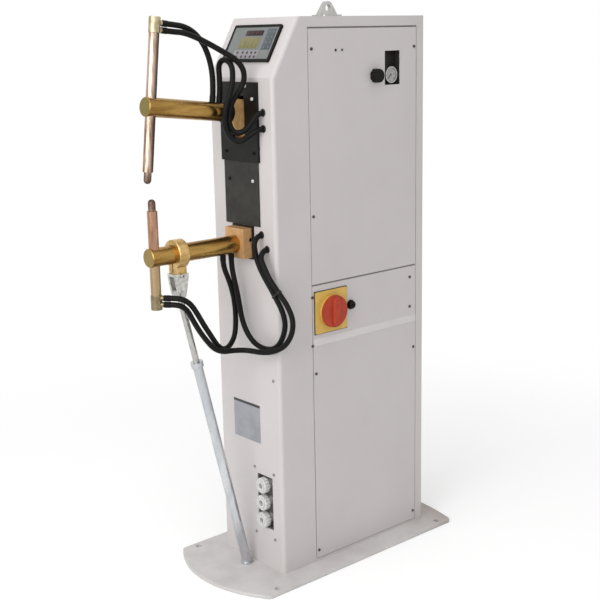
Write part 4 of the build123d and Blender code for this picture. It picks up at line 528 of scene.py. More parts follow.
def slab(width: float, height: float, thickness: float, corner: float, edge: float) -> Mesh:
    """Makes a plate on the XY plane with round corners and a softened top edge.

    Args:
        width: Its size along X, in mm.
        height: Its size along Y, in mm.
        thickness: Its size along Z, in mm.
        corner: The radius of its corners, in mm.
        edge: The radius of its top edge, in mm.

    Returns:
        The plate.
    """
    mesh = bmesh.new()
    bmesh.ops.create_cube(mesh, size=1.0)
    bmesh.ops.scale(mesh, vec=(width * MM, height * MM, thickness * MM), verts=mesh.verts)
    bmesh.ops.translate(mesh, vec=(0, 0, thickness * MM / 2), verts=mesh.verts)
    upright = [e for e in mesh.edges if abs(e.verts[0].co.z - e.verts[1].co.z) > WELD_DISTANCE]
    rounded(mesh, upright, corner, CORNER_SEGMENTS)
    rim = [e for e in mesh.edges if all(v.co.z > thickness * MM - WELD_DISTANCE for v in e.verts)]
    rounded(mesh, rim, edge, EDGE_SEGMENTS)
    return mesh


def placed(shape: Mesh, place: Matrix) -> Mesh:
    """Moves a shape to its place and gives it back."""
    bmesh.ops.transform(shape, matrix=place, verts=shape.verts)
    return shape


def side_strip(face: float, area: Area, thickness: float, edge: float) -> Mesh:
    """Makes a thin strip with a soft edge over an area on the switch side, face mm out."""
    near, far, low, high = area
    place = side_seat(face, area).matrix()
    return placed(slab(far - near, high - low, thickness, TRIM_CORNER, edge), place)


def joined(shapes: Sequence[Mesh]) -> Mesh:
    """Puts shapes together in one mesh and frees them.

    Args:
        shapes: The shapes, already in place.

    Returns:
        All shapes together.
    """
    whole = bmesh.new()
    for shape in shapes:
        scratch = bpy.data.meshes.new("scratch")
        shape.to_mesh(scratch)
        shape.free()
        whole.from_mesh(scratch)
        bpy.data.meshes.remove(scratch)
    return whole


def repeated(make: Callable[[], Mesh], places: Sequence[Matrix]) -> Mesh:
    """Puts a copy of one shape at each place, in one mesh."""
    return joined([placed(make(), place) for place in places])


def text_shape(words: str, height: float) -> Mesh:
    """Makes thin raised numerals, centred on the XY plane.

    Args:
        words: The numerals.
        height: Their height, in mm.

    Returns:
        The numerals as a mesh.
    """
    curve = bpy.data.curves.new("numerals", "FONT")
    curve.body = words
    curve.align_x = "CENTER"
    curve.align_y = "CENTER"
    curve.size = height * MM
    curve.extrude = PRINT_DEPTH * MM
    holder = bpy.data.objects.new("numerals", curve)
    flat = bpy.data.meshes.new_from_object(holder)
    mesh = bmesh.new()
    mesh.from_mesh(flat)
    bpy.data.objects.remove(holder)
    bpy.data.curves.remove(curve)
    bpy.data.meshes.remove(flat)
    return mesh


def piece(name: str, mesh: Mesh, finish: Finish, body: Body = Body.FRAME) -> None:
    """Turns a mesh into a dressed piece that rides on a body.

    Args:
        name: The piece's name.
        mesh: Its shape, already in place.
        finish: Its surface.
        body: The body that carries it.
    """
    data = bpy.data.meshes.new(name)
    mesh.to_mesh(data)
    mesh.free()
    data.materials.append(finish.material())
    data.shade_smooth()
    data.set_sharp_from_angle(angle=SHARP_ANGLE)
    made = bpy.data.objects.new(name, data)
    bpy.context.scene.collection.objects.link(made)
    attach(made, body.value)
    LOG.info("%s: %d faces on %s", name, len(data.polygons), body.value)


def dress(finish: Finish, *nodes: str) -> None:
    """Gives CAD nodes a finish.

    Args:
        finish: The surface.
        nodes: The nodes' names.
    """
    for name in nodes:
        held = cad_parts[name].data.materials
        held.clear()
        held.append(finish.material())
        LOG.info("%s: %s", name, finish.name)


def pan_head(width: float, height: float) -> Mesh:
    """Makes a pan head screw with a socket, its underside just below the XY plane.

    Args:
        width: The head's diameter, in mm.
        height: The head's height, in mm.

    Returns:
        The head.
    """
    half = width / 2
    outline = [(half * across, height * rise) for across, rise in PAN_OUTLINE]
    return lathe([(0, PAN_UNDER), (half, PAN_UNDER), *outline], SMALL_SIDES)


@dataclass
class Studio:
    """Camera in mm and degrees, lamps and floor in metres and watts, and the world's daylight."""

    camera_at: Point = (1952.14, -1760.61, 1220.65)
    yaw: float = 49.104
    pitch: float = 13.219
    roll: float = 1.177
    lens: float = 67.82
    sensor: float = 36.0
    daylight: float = 0.56
    floor_size: float = 60.0
    floor_drop: float = 0.0003
    floor_lift: float = 0.22
    floor_fade: Spot = (0.5, 1.8)
    floor_colour: str = "#F2F2F2"
    sky_colour: str = "#FFFFFF"
    lamps: tuple[tuple[str, Point, float, float], ...] = (
        ("key_lamp", (0.6, -2.8, 1.7), 2.2, 39.0),
        ("side_lamp", (2.2, -2.4, 1.9), 2.2, 14.0),
        ("top_lamp", (0.2, -0.2, 3.8), 2.6, 30.0),
    )
    aim: Point = (0.0, -0.1, 0.65)

    def build(self) -> None:
        """Sets the view up and lights it."""
        bpy.context.scene.view_settings.view_transform = "Standard"
        self.place_camera()
        for lamp in self.lamps:
            self.hang_lamp(*lamp)
        self.paint_world()
        self.lay_floor()

    def place_camera(self) -> None:
        """Puts the camera at the photograph's angle."""
        yaw, pitch, roll = (math.radians(a) for a in (self.yaw, self.pitch, self.roll))
        back = Vector((math.sin(yaw) * math.cos(pitch), -math.cos(yaw) * math.cos(pitch), math.sin(pitch)))
        right = Vector((math.cos(yaw), math.sin(yaw), 0.0))
        up = back.cross(right)
        across = right * math.cos(roll) - up * math.sin(roll)
        rise = right * math.sin(roll) + up * math.cos(roll)
        data = bpy.data.cameras.new("camera")
        data.lens = self.lens
        data.sensor_width = self.sensor
        camera = bpy.data.objects.new("camera", data)
        turned = Matrix((across, rise, back)).transposed().to_4x4()
        camera.matrix_world = Matrix.Translation(Vector(self.camera_at) * MM) @ turned
        bpy.context.scene.collection.objects.link(camera)
        bpy.context.scene.camera = camera

    def hang_lamp(self, name: str, at: Point, size: float, power: float) -> None:
        """Hangs one soft square lamp that looks at the machine.

        Args:
            name: The lamp's name.
            at: Its place, in metres.
            size: Its side, in metres.
            power: Its power, in watts.
        """
        data = bpy.data.lights.new(name, "AREA")
        data.size = size
        data.energy = power
        lamp = bpy.data.objects.new(name, data)
        lamp.location = at
        lamp.rotation_euler = (Vector(self.aim) - Vector(at)).to_track_quat("-Z", "Y").to_euler()
        bpy.context.scene.collection.objects.link(lamp)

    def seen(self, tree: Tree) -> Socket:
        """Tells rays that show the background from rays that only carry light.

        Args:
            tree: The node tree.

        Returns:
            1 for camera, glossy and transmission rays.
        """
        path = add_node(tree, "LightPath").outputs
        rays = path["Is Camera Ray"]
        for other in ("Is Glossy Ray", "Is Transmission Ray"):
            rays = add_node(tree, "Math", {0: rays, 1: path[other]}, operation="MAXIMUM").outputs[0]
        return rays

    def paint_world(self) -> None:
        """Makes a white background and an even daylight."""
        world = bpy.data.worlds.new("studio")
        world.use_nodes = True
        tree = world.node_tree
        tree.nodes.clear()
        strength = add_node(
            tree, "MapRange", {"Value": self.seen(tree), "To Min": self.daylight, "To Max": 1.0}
        )
        sky = add_node(
            tree, "Background", {"Color": linear(self.sky_colour), "Strength": strength.outputs[0]}
        )
        add_node(tree, "OutputWorld", {"Surface": sky.outputs[0]})
        bpy.context.scene.world = world

    def lay_floor(self) -> None:
        """Lays a white floor that keeps the machine's shadow."""
        mesh = bmesh.new()
        bmesh.ops.create_grid(mesh, x_segments=2, y_segments=2, size=self.floor_size)
        bmesh.ops.translate(mesh, vec=(0, 0, -self.floor_drop), verts=mesh.verts)
        data = bpy.data.meshes.new("floor")
        mesh.to_mesh(data)
        mesh.free()
        data.materials.append(self.floor_paint())
        floor = bpy.data.objects.new("floor", data)
        bpy.context.scene.collection.objects.link(floor)

    def floor_paint(self) -> bpy.types.Material:
        """Makes the floor's paint, which goes over into plain white away from the machine.

        Returns:
            The new material.
        """
        paint = bpy.data.materials.new("white_floor")
        paint.use_nodes = True
        tree = paint.node_tree
        tree.nodes.clear()
        seen = self.seen(tree)
        matt = add_node(tree, "BsdfDiffuse", {"Color": linear(self.floor_colour)})
        lift = add_node(tree, "MapRange", {"Value": seen, "To Min": 0.0, "To Max": self.floor_lift})
        glow = add_node(tree, "Emission", {"Strength": lift.outputs[0]})
        near = add_node(tree, "AddShader", {0: matt.outputs[0], 1: glow.outputs[0]})
        place = add_node(tree, "TexCoord").outputs["Object"]
        away = add_node(tree, "VectorMath", {0: place}, operation="LENGTH").outputs["Value"]
        fade = add_node(
            tree, "MapRange",
            {"Value": away, "From Min": self.floor_fade[0], "From Max": self.floor_fade[1]},
            interpolation_type="SMOOTHSTEP",
        )
        share = add_node(tree, "Math", {0: fade.outputs[0], 1: seen}, operation="MULTIPLY")
        white = add_node(tree, "Emission", {"Strength": 1.0})
        whole = add_node(
            tree, "MixShader", {0: share.outputs[0], 1: near.outputs[0], 2: white.outputs[0]}
        )
        add_node(tree, "OutputMaterial", {"Surface": whole.outputs[0]})
        return paint


@dataclass
class Hose:
    """One water hose: its route, its real length and what carries its two ends.

    Attributes:
        name: The hose's node in the model.
        length: Its length, in mm; not used.
        route: The control points of its line, in metres.
        start: The body at its first end.
        finish: The body at its last end; not used.
        bend: Where it would start and stop to bend between two bodies, in metres; only whether it is given
            is read, and then the hose is baked in place on no body.
        diameter: Its outer diameter, in mm.
        steps: The points of its line for each control point.
        roundness: The steps of its section's bevel.
        order: The order of its line.
    """

    name: str
    length: float
    route: tuple[Point, ...]
    start: Body
    finish: Body
    bend: tuple[Point, Point] | None = None
    diameter: float = 12.0
    steps: int = 10
    roundness: int = 5
    order: int = 3

    def curve(self, bevel: float) -> bpy.types.Object:
        """Makes the route's smooth line.

        Args:
            bevel: The tube's radius in metres, or 0 for a bare line.

        Returns:
            The curve object, not yet in the scene.
        """
        data = bpy.data.curves.new(self.name + "_line", "CURVE")
        data.dimensions = "3D"
        data.resolution_u = self.steps
        data.bevel_depth = bevel
        data.bevel_resolution = self.roundness
        data.use_fill_caps = bevel > 0
        spline = data.splines.new("NURBS")
        spline.points.add(len(self.route) - 1)
        for control, at in zip(spline.points, self.route):
            control.co = (*at, 1.0)
        spline.order_u = self.order
        spline.use_endpoint_u = True
        return bpy.data.objects.new(self.name + "_line", data)

    def line(self) -> list[Vector]:
        """Reads points along the smooth line.

        Returns:
            The points, in metres.
        """
        holder = self.curve(0.0)
        bare = bpy.data.meshes.new_from_object(holder)
        points = [v.co.copy() for v in bare.vertices]
        bpy.data.objects.remove(holder)
        bpy.data.meshes.remove(bare)
        return points

    def build(self) -> None:
        """Makes the hose, which stands for its CAD tube."""
        made = self.curve(self.diameter * MM / 2)
        path = None
        if self.bend:
            tube = bpy.data.meshes.new_from_object(made)
            bpy.data.objects.remove(made)
            tube.shade_smooth()
            made = bpy.data.objects.new(self.name + "_tube", tube)
            path = self.line()
        made.name = self.name + "_tube"
        made.data.materials.clear()
        made.data.materials.append(RUBBER.material())
        bpy.context.scene.collection.objects.link(made)
        if self.bend:
            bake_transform(made)
        else:
            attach(made, self.start.value)
        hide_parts(self.name)
        LOG.info("%s: %d control points", made.name, len(self.route))


UPPER_LOOP = Hose(
    "upper_hose_loop", 221.0,
    ((0, -0.41358, 1.24707), (0, -0.39768, 1.24526), (-0.001, -0.371, 1.242), (-0.003, -0.344, 1.231),
     (-0.004, -0.321, 1.209), (-0.004, -0.306, 1.179), (-0.002, -0.3, 1.146), (0, -0.30126, 1.11098),
     (0, -0.30307, 1.09509)),
    Body.ROCKER, Body.ROCKER,
)
UPPER_HEAD = Hose(
    "upper_hose_head", 417.0,
    ((0, -0.41516, 1.23316), (0, -0.39926, 1.23135), (0.005, -0.373, 1.229), (0.014, -0.344, 1.217),
     (0.025, -0.316, 1.201), (0.035, -0.292, 1.186), (0.047, -0.273, 1.172), (0.053, -0.259, 1.152),
     (0.051, -0.256, 1.128), (0.043, -0.266, 1.106), (0.035, -0.278, 1.086), (0.032, -0.285, 1.062),
     (0.033, -0.287, 1.04), (0.038, -0.281, 1.023), (0.047, -0.271, 1.019), (0.058, -0.262, 1.026),
     (0.07178, -0.25376, 1.04436), (0.07573, -0.24726, 1.05491), (0.078, -0.236, 1.061),
     (0.078, -0.226, 1.061)),
    Body.ROCKER, Body.FRAME, ((0.01, -0.36, 1.22), (0.07, -0.255, 1.045)),
)
UPPER_ARM = Hose(
    "upper_hose_arm", 355.0,
    ((0, -0.28519, 1.09305), (0, -0.28337, 1.10895), (0, -0.283, 1.135), (0.0005, -0.285, 1.159),
     (0.0125, -0.285, 1.172), (0.0295, -0.283, 1.172), (0.042, -0.28, 1.158), (0.042, -0.28, 1.13),
     (0.043, -0.288, 1.106), (0.041, -0.297, 1.085), (0.037, -0.301, 1.062), (0.035, -0.3, 1.038),
     (0.038, -0.294, 1.018), (0.045, -0.286, 1.005), (0.054, -0.275, 1.001),
     (0.06379, -0.25376, 1.01635), (0.0728, -0.24726, 1.0231), (0.078, -0.236, 1.027),
     (0.078, -0.226, 1.027)),
    Body.ROCKER, Body.FRAME, ((0.004, -0.285, 1.15), (0.066, -0.252, 1.018)),
)
LOWER_LOOP = Hose(
    "lower_hose_loop", 464.0,
    ((0.02145, -0.452, 0.686), (0.0337, -0.44172, 0.686), (0.0445, -0.4305, 0.683),
     (0.051, -0.417, 0.671), (0.05, -0.401, 0.647), (0.044, -0.381, 0.618), (0.036, -0.358, 0.589),
     (0.028, -0.336, 0.561), (0.018, -0.313, 0.545), (0.007, -0.286, 0.546), (-0.004, -0.262, 0.564),
     (-0.009, -0.254, 0.6), (-0.008, -0.257, 0.644), (-0.005, -0.271, 0.689), (0, -0.291, 0.727),
     (0, -0.291, 0.743)),
    Body.FRAME, Body.FRAME,
)
LOWER_HEAD = Hose(
    "lower_hose_head", 594.0,
    ((0.02145, -0.452, 0.672), (0.0337, -0.44172, 0.672), (0.0415, -0.4315, 0.667),
     (0.046, -0.422, 0.656), (0.044, -0.411, 0.637), (0.042, -0.395, 0.611), (0.04, -0.375, 0.584),
     (0.039, -0.354, 0.5595), (0.039, -0.331, 0.548), (0.042, -0.305, 0.5465), (0.05, -0.284, 0.545),
     (0.066, -0.272, 0.544), (0.09, -0.264, 0.543), (0.119, -0.255, 0.548), (0.145, -0.243, 0.562),
     (0.161, -0.234, 0.59), (0.162, -0.23, 0.622), (0.148, -0.233, 0.652), (0.129, -0.242, 0.68),
     (0.109, -0.249, 0.706), (0.095, -0.252, 0.731), (0.08533, -0.25376, 0.75006),
     (0.08195, -0.24726, 0.7608), (0.08, -0.236, 0.767), (0.08, -0.226, 0.767)),
    Body.FRAME, Body.FRAME,
)
LOWER_ARM = Hose(
    "lower_hose_arm", 559.0,
    ((0, -0.268, 0.743), (0, -0.268, 0.727), (0.005, -0.267, 0.7), (0.01, -0.263, 0.669),
     (0.012, -0.259, 0.638), (0.015, -0.256, 0.606), (0.027, -0.252, 0.574), (0.05, -0.248, 0.551),
     (0.084, -0.243, 0.544), (0.115, -0.241, 0.553), (0.135, -0.238, 0.578), (0.141, -0.234, 0.61),
     (0.133, -0.236, 0.64), (0.116, -0.24, 0.667), (0.098, -0.243, 0.692), (0.082, -0.247, 0.716),
     (0.071, -0.25, 0.738), (0.065, -0.252, 0.76), (0.06378, -0.25376, 0.77933),
     (0.06265, -0.24726, 0.79053), (0.062, -0.236, 0.797), (0.062, -0.226, 0.797)),
    Body.FRAME, Body.FRAME,
)


@dataclass
class WaterHoses:
    """The six hoses with their end sleeves, wall grommets and tie; hose places in metres, sizes in mm."""

    sleeve: Profile = (
        (5.1, -11.0), (6.2, -11.0), (6.6, -10.4), (6.6, 2.2), (6.2, 3.0), (5.8, 3.0), (5.1, -11.0),
    )
    grommet: Profile = (
        (6.1, -0.4), (8.0, -0.4), (8.4, 0.4), (8.2, 1.4), (7.6, 2.2), (6.8, 2.6), (6.1, 2.4), (6.1, -0.4),
    )
    inner_end: float = -0.226
    wall: float = -0.230
    ring_up: Point = (1.0, 0.0, 0.2)
    tie_at: Point = (0.129, -0.242, 0.68)
    tie_nearness: float = 0.2
    tie_play: float = 0.2
    tie_width: float = 4.5
    tie_thickness: float = 1.3
    lock: Form = (6.0, 7.0, 5.0, 0.8, 0.5)
    lock_sink: float = 0.5

    def build(self) -> None:
        """Builds the hoses and what holds them."""
        for hose in (UPPER_LOOP, UPPER_HEAD, UPPER_ARM, LOWER_LOOP, LOWER_HEAD, LOWER_ARM):
            hose.build()
        for name, body, loop, head, arm in (
            ("upper_hose_sleeves", Body.ROCKER, UPPER_LOOP, UPPER_HEAD, UPPER_ARM),
            ("lower_hose_sleeves", Body.FRAME, LOWER_LOOP, LOWER_HEAD, LOWER_ARM),
        ):
            ends = ((loop, 0), (loop, -1), (head, 0), (arm, 0))
            places = [self.end_seat(hose, end).matrix() for hose, end in ends]
            piece(name, repeated(lambda: lathe(self.sleeve), places), RUBBER, body)
        walled = (UPPER_HEAD, UPPER_ARM, LOWER_HEAD, LOWER_ARM)
        places = [self.end_seat(hose, -1).matrix() for hose in walled]
        piece("hose_grommets", repeated(lambda: lathe(self.grommet), places), TIE)
        self.tie()

    def end_seat(self, hose: Hose, end: int) -> Seat:
        """Finds the seat at a hose's end, looking along the hose.

        Args:
            hose: The hose.
            end: 0 for its first end, -1 for its last.

        Returns:
            The seat, on the front wall for an end that enters the cabinet.
        """
        tip = Vector(hose.route[end])
        inner = Vector(hose.route[1 if end == 0 else -2])
        out = (inner - tip).normalized()
        if abs(tip.y - self.inner_end) < WELD_DISTANCE:
            tip.y = self.wall
        return Seat(tuple(tip / MM), tuple(out), self.ring_up)

    def tie(self) -> None:
        """Ties the two lower hoses together where they rise beside each other."""
        line, other = LOWER_HEAD.line(), LOWER_ARM.line()
        at = Vector(self.tie_at)
        near = min(range(1, len(line) - 1), key=lambda i: (line[i] - at).length)
        first = line[near]
        along = (line[near + 1] - line[near - 1]).normalized()
        gaps = [point - first for point in other]
        gap = min(gaps, key=lambda g: abs(g.dot(along)) + g.length * self.tie_nearness)
        gap = gap - along * gap.dot(along)
        seat = Seat(tuple((first + gap / 2) / MM), tuple(along), tuple(gap))
        band = self.strap(LOWER_HEAD.diameter / 2 + self.tie_play, gap.length / MM / 2)
        piece("hose_tie", placed(band, seat.matrix()), TIE)

    def strap(self, radius: float, reach: float) -> Mesh:
        """Makes a strap round two hoses, with its lock.

        Args:
            radius: The strap's inner radius, in mm.
            reach: Half the distance between the hoses, in mm.

        Returns:
            The strap, across the XY plane.
        """
        half = self.tie_width / 2
        outer = radius + self.tie_thickness
        strap = lathe(((radius, -half), (outer, -half), (outer, half), (radius, half), (radius, -half)))
        top = [v for v in strap.verts if v.co.y > 0]
        foot = [v for v in strap.verts if v.co.y <= 0]
        for way, verts in ((reach, top), (-reach, foot)):
            bmesh.ops.translate(strap, vec=(0, way * MM, 0), verts=verts)
        beside = Matrix.Translation(((outer - self.lock_sink) * MM, 0, 0))
        lock = placed(slab(*self.lock), beside @ Matrix.Rotation(math.pi / 2, 4, "Y"))
        return joined([strap, lock])


@dataclass
class Cabinet:
    """The coated cabinet with its screws, seams, bare plate and lamps."""

    front: Seat = Seat((0.0, -END_FACE, 0.0), FRONT_OUT)
    right: Seat = Seat((SIDE_FACE, 0.0, 0.0), RIGHT_OUT)
    left: Seat = Seat((-SIDE_FACE, 0.0, 0.0), LEFT_OUT)
    rear: Seat = Seat((0.0, END_FACE, 0.0), REAR_OUT)
    screw: Spot = (7.0, 2.2)
    right_screws: tuple[Spot, ...] = (
        (-119, 1190), (199, 1189), (-121, 829), (-129, 647), (186, 646), (186, 573), (-130, 535),
        (199, 469), (-121, 468), (-121, 34), (199, 37),
    )
    front_screws: tuple[Spot, ...] = ((13, 247), (82, 245), (81, 85), (13, 85), (89, 470))
    left_columns: Spot = (-199, 119)
    left_rows: tuple[float, ...] = (34, 323, 612, 901, 1190)
    rear_columns: Spot = (-84, 84)
    rear_rows: tuple[float, ...] = (40, 633, 1205)
    plate_centre: Spot = (-10.0, 350.7)
    plate: Form = (95.0, 85.0, 0.6, 1.5, 0.2)
    bar: Form = (95.0, 6.0, 0.8, 0.5, 0.2)
    lamps: tuple[tuple[str, Spot, Finish], ...] = (
        ("lamp_first", (-48, 1186), LENS_BLACK), ("lamp_second", (-29, 1186), LENS_SMOKE),
    )
    dome: Profile = ((0, -1.5), (2.9, -1.5), (2.9, 0.4), (2.4, 1.5), (1.3, 2.2), (0, 2.5))
    beads: tuple[Area, ...] = (
        (-130.0, 208.0, 1232.6, 1235.8), (-128.0, 206.0, 672.4, 675.6), (206.2, 207.8, 676.0, 1232.4),
        (-129.8, -128.2, 15.0, 533.0),
    )
    bead_floor: float = 108.0
    bead_depth: float = 0.6
    trim_edge: float = 0.2
    lip: Area = (-128.0, 206.0, 533.0, 550.2)
    lip_proud: float = 0.8
    lip_middle: float = 0.65
    lip_lean: float = 0.35

    def build(self) -> None:
        """Dresses the cabinet and adds its small pieces."""
        dress(
            COAT, "cabinet_shell", "right_upper_cover", "switch_panel", "right_lower_cover", "left_cover",
            "rear_cover", "inner_shelves",
        )
        # The plate's coat is painted darker towards the rear as shade.
        dress(BASE_COAT_REAR_SHADE, "base_plate")
        # The tray's coat is painted darker inside as shade in the recess.
        dress(TRAY_COAT_INNER_SHADE, "connection_tray")
        dress(ZINC, "lifting_eye")
        dress(ABS, "mains_gland")
        self.screws()
        self.seams()
        self.bare_plate()
        for name, spot, finish in self.lamps:
            dome = lathe(self.dome, SMALL_SIDES)
            piece(name, placed(dome, self.right.matrix(*spot)), finish)

    def screws(self) -> None:
        """Puts the cover screws in."""
        for name, seat, spots, finish in (
            ("right_screws", self.right, self.right_screws, OXIDE),
            ("left_screws", self.left, crossings(self.left_columns, self.left_rows), OXIDE),
            ("rear_screws", self.rear, crossings(self.rear_columns, self.rear_rows), OXIDE),
            ("front_screws", self.front, self.front_screws, DULL_STEEL),
        ):
            heads = repeated(lambda: pan_head(*self.screw), seat.places(spots))
            piece(name, heads, finish)

    def seams(self) -> None:
        """Lays grey beads in the open seams as painted shade, and turns a lip painted paler, as a
        highlight, over the closed one.
        """
        # The grey beads behind the open seams are painted shade.
        beads = [side_strip(self.bead_floor, area, self.bead_depth, self.trim_edge) for area in self.beads]
        piece("seam_shade_beads", joined(beads), SEAM_SHADE)
        near, far, low, high = self.lip
        strip = slab(far - near, high - low, self.lip_proud, TRIM_CORNER, self.trim_edge)
        rise = (high - low) * MM / 2
        for vert in strip.verts:
            vert.co.z *= self.lip_middle - vert.co.y / rise * self.lip_lean
        place = side_seat(SIDE_FACE, self.lip).matrix()
        # The lip's paler coat is a painted highlight.
        piece("cover_lip", placed(strip, place), COAT_PAINTED_HIGHLIGHT)

    def bare_plate(self) -> None:
        """Puts the bare rating plate and its plain bar on the front."""
        across, rise = self.plate_centre
        plate = placed(slab(*self.plate), self.front.matrix(across, rise))
        piece("rating_plate", plate, PLATE)
        above = (self.plate[1] + self.bar[1]) / 2
        bar = placed(slab(*self.bar), self.front.matrix(across, rise + above))
        piece("rating_bar", bar, FILM_DARK)


@dataclass
class ControlUnit:
    """The weld control on the sloped head: film, window, digits, fields and keys.

    Each area is its left, right, top and bottom, in mm from the top middle of the film.
    """

    top: Point = (0.0, -161.81, 1260.2)
    out: Point = (0.0, -0.86654, 0.49913)
    display: Area = (-30.5, 28.5, 34.0, 46.5)
    olive: Area = (-40.0, 24.0, 50.5, 77.0)
    pale: Area = (-46.0, 36.0, 81.5, 103.0)
    slate: Area = (40.0, 69.0, 30.0, 80.0)
    print_form: Point = (0.35, 1.2, 0.1)
    print_lift: float = 0.36
    figures: int = 4
    segment: Spot = (3.4, 0.8)
    segment_share: float = 0.8
    upright: float = 90.0
    segment_form: Point = (0.1, 0.3, 0.03)
    bar_shares: tuple[float, ...] = (0.3, 0.75, 0.45, 0.9, 0.55)
    bar_width: float = 5.0
    bar_margin: float = 3.0
    bar_form: Point = (0.08, 0.3, 0.02)
    line_rise: float = 2.4
    line_short: float = 5.0
    line_width: float = 0.7
    key_lift: float = 0.3
    key_columns: tuple[float, ...] = (-34, -16, -1, 14, 28)
    key_rows: tuple[float, ...] = (-87.0, -97.0)
    key_sides: int = 20
    key: Profile = ((0, 0), (3.2, 0), (3.2, 0.5), (2.7, 0.9), (0, 1.0))
    dot_columns: tuple[float, ...] = (48, 62)
    dot_rows: tuple[float, ...] = (-38, -50, -62, -74, -86, -98)
    dot_sides: int = 16
    dot: Profile = ((0, 0), (1.5, 0), (1.5, 0.3), (0.9, 0.7), (0, 0.8))

    def build(self) -> None:
        """Dresses the control and lays its fields on the film."""
        dress(ABS, "control_bezel")
        dress(FILM, "control_membrane")
        for name, area, finish in (
            ("display_window", self.display, WINDOW),
            ("olive_field", self.olive, FILM_OLIVE),
            ("pale_field", self.pale, FILM_PALE),
            ("slate_field", self.slate, FILM_SLATE),
        ):
            left, right, top, bottom = area
            shape = slab(right - left, bottom - top, *self.print_form)
            place = self.seat().matrix((left + right) / 2, -(top + bottom) / 2)
            piece(name, placed(shape, place), finish)
        self.digits()
        self.diagram()
        self.keys()

    def seat(self, lift: float = 0.0) -> Seat:
        """Gives the seat at the top middle of the film, lift mm above it."""
        return Seat(tuple(Vector(self.top) + Vector(self.out) * lift), self.out)

    def digits(self) -> None:
        """Puts four plain figures of seven bars behind the window."""
        left, right, top, bottom = self.display
        long, thin = self.segment
        middle = -(top + bottom) / 2
        bars = []
        for column in range(self.figures):
            across = left + (right - left) * (column + 0.5) / self.figures
            bars += [(across, middle + rise * long) for rise in (-1, 0, 1)]
            for side in (across - long / 2, across + long / 2):
                bars += [(side, middle + rise * long, self.upright) for rise in (-0.5, 0.5)]
        places = self.seat(self.print_lift).places(bars)
        shape = repeated(lambda: slab(long * self.segment_share, thin, *self.segment_form), places)
        piece("display_digits", shape, SEGMENT)

    def diagram(self) -> None:
        """Prints a plain bar diagram on the olive field."""
        left, right, top, bottom = self.olive
        room = bottom - top - 2 * self.bar_margin
        bars = []
        for step, share in enumerate(self.bar_shares):
            across = left + (right - left) * (step + 0.5) / len(self.bar_shares)
            bars.append((across, self.bar_margin + room * share / 2, self.bar_width, room * share))
        bars.append(((left + right) / 2, self.line_rise, right - left - self.line_short, self.line_width))
        seat = self.seat(self.print_lift)
        shapes = [
            placed(slab(width, tall, *self.bar_form), seat.matrix(across, rise - bottom))
            for across, rise, width, tall in bars
        ]
        piece("olive_diagram", joined(shapes), FILM_BROWN)

    def keys(self) -> None:
        """Puts the round keys on the pale field and the small lamps beside the fields."""
        keys = self.seat(self.key_lift).places(crossings(self.key_columns, self.key_rows))
        piece("film_keys", repeated(lambda: lathe(self.key, self.key_sides), keys), FILM_DARK)
        dots = self.seat().places(crossings(self.dot_columns, self.dot_rows))
        piece("film_lamps", repeated(lambda: lathe(self.dot, self.dot_sides), dots), FILM_PALE)


@dataclass
class Shields:
    """The dark boards on the front and their white and black plastic screws."""

    upper: Seat = Seat((0.0, -236.0, 0.0), FRONT_OUT)
    lower: Seat = Seat((0.0, -233.0, 0.0), FRONT_OUT)
    screw: Spot = (7.5, 3.0)
    upper_spots: tuple[Spot, ...] = ((27, 1116), (50, 1089))
    lower_spots: tuple[Spot, ...] = ((41, 913),)
    upper_dark: tuple[Spot, ...] = ((50, 974), (-46, 974))
    lower_dark: tuple[Spot, ...] = ((-41, 913),)

    def build(self) -> None:
        """Dresses the boards and puts their screws in."""
        dress(BOARD, "upper_shield", "block_insulator", "arm_washer")
        dress(BOARD_PALE, "lower_shield")
        for name, upper, lower, finish, slot in (
            ("shield_screws", self.upper_spots, self.lower_spots, NYLON, Slot.WHITE),
            ("shield_screws_dark", self.upper_dark, self.lower_dark, ABS, Slot.BLACK),
        ):
            places = self.upper.places(upper) + self.lower.places(lower)
            piece(name, repeated(lambda: pan_head(*self.screw), places), finish)


@dataclass
class Arms:
    """The two arms with their holders, collar and strut."""

    collar: Seat = Seat((14.0, -412.0, 727.0), RIGHT_OUT)
    clamp: Seat = Seat((29.0, -237.0, 783.0), RIGHT_OUT)
    cap: Profile = ((0, 0), (5.0, 0), (5.0, 5.4), (4.5, 6.0), (2.6, 6.0), (2.4, 2.4), (0, 2.2))
    socket: Profile = ((0, -3.0), (2.4, -3.0), (2.6, 0.6), (3.9, 0.6), (4.7, 0.0), (4.7, -4.0), (0, -4.0))

    def build(self) -> None:
        """Dresses the arms and adds their screws."""
        for finish, *nodes in (
            (UPPER_BAR, "upper_arm"),
            (LOWER_BAR, "lower_arm"),
            (CASTING, "rocker_lever", "pivot_bushes"),
            (COLLAR, "arm_collar"),
            (HEAD, "upper_holder_head"),
            (HEAD_DULL, "lower_holder_head"),
            (BLOCK, "lower_arm_block", "flexible_band"),
            # The upper holder's finish paints a dark brown shade down one side.
            (COPPER_SIDE_SHADE, "upper_electrode_holder"),
            (LOWER_HOLDER, "lower_electrode_holder"),
            (UPPER_TIP, "upper_electrode_tip"),
            (LOWER_TIP, "lower_electrode_tip"),
            (TUBE, "strut_tube"),
            (CAST_ZINC, "strut_clevis"),
            (ZINC, "strut_pin", "strut_rod", "pivot_pin", "pivot_bracket", "piston_rod",
             "upper_arm_nozzles", "lower_arm_nozzles"),
        ):
            dress(finish, *nodes)
        for name, profile, seat, finish in (
            ("collar_bolt", self.cap, self.collar, ZINC),
            ("clamp_screw", self.socket, self.clamp, OXIDE),
        ):
            piece(name, placed(lathe(profile, SMALL_SIDES), seat.matrix()), finish)


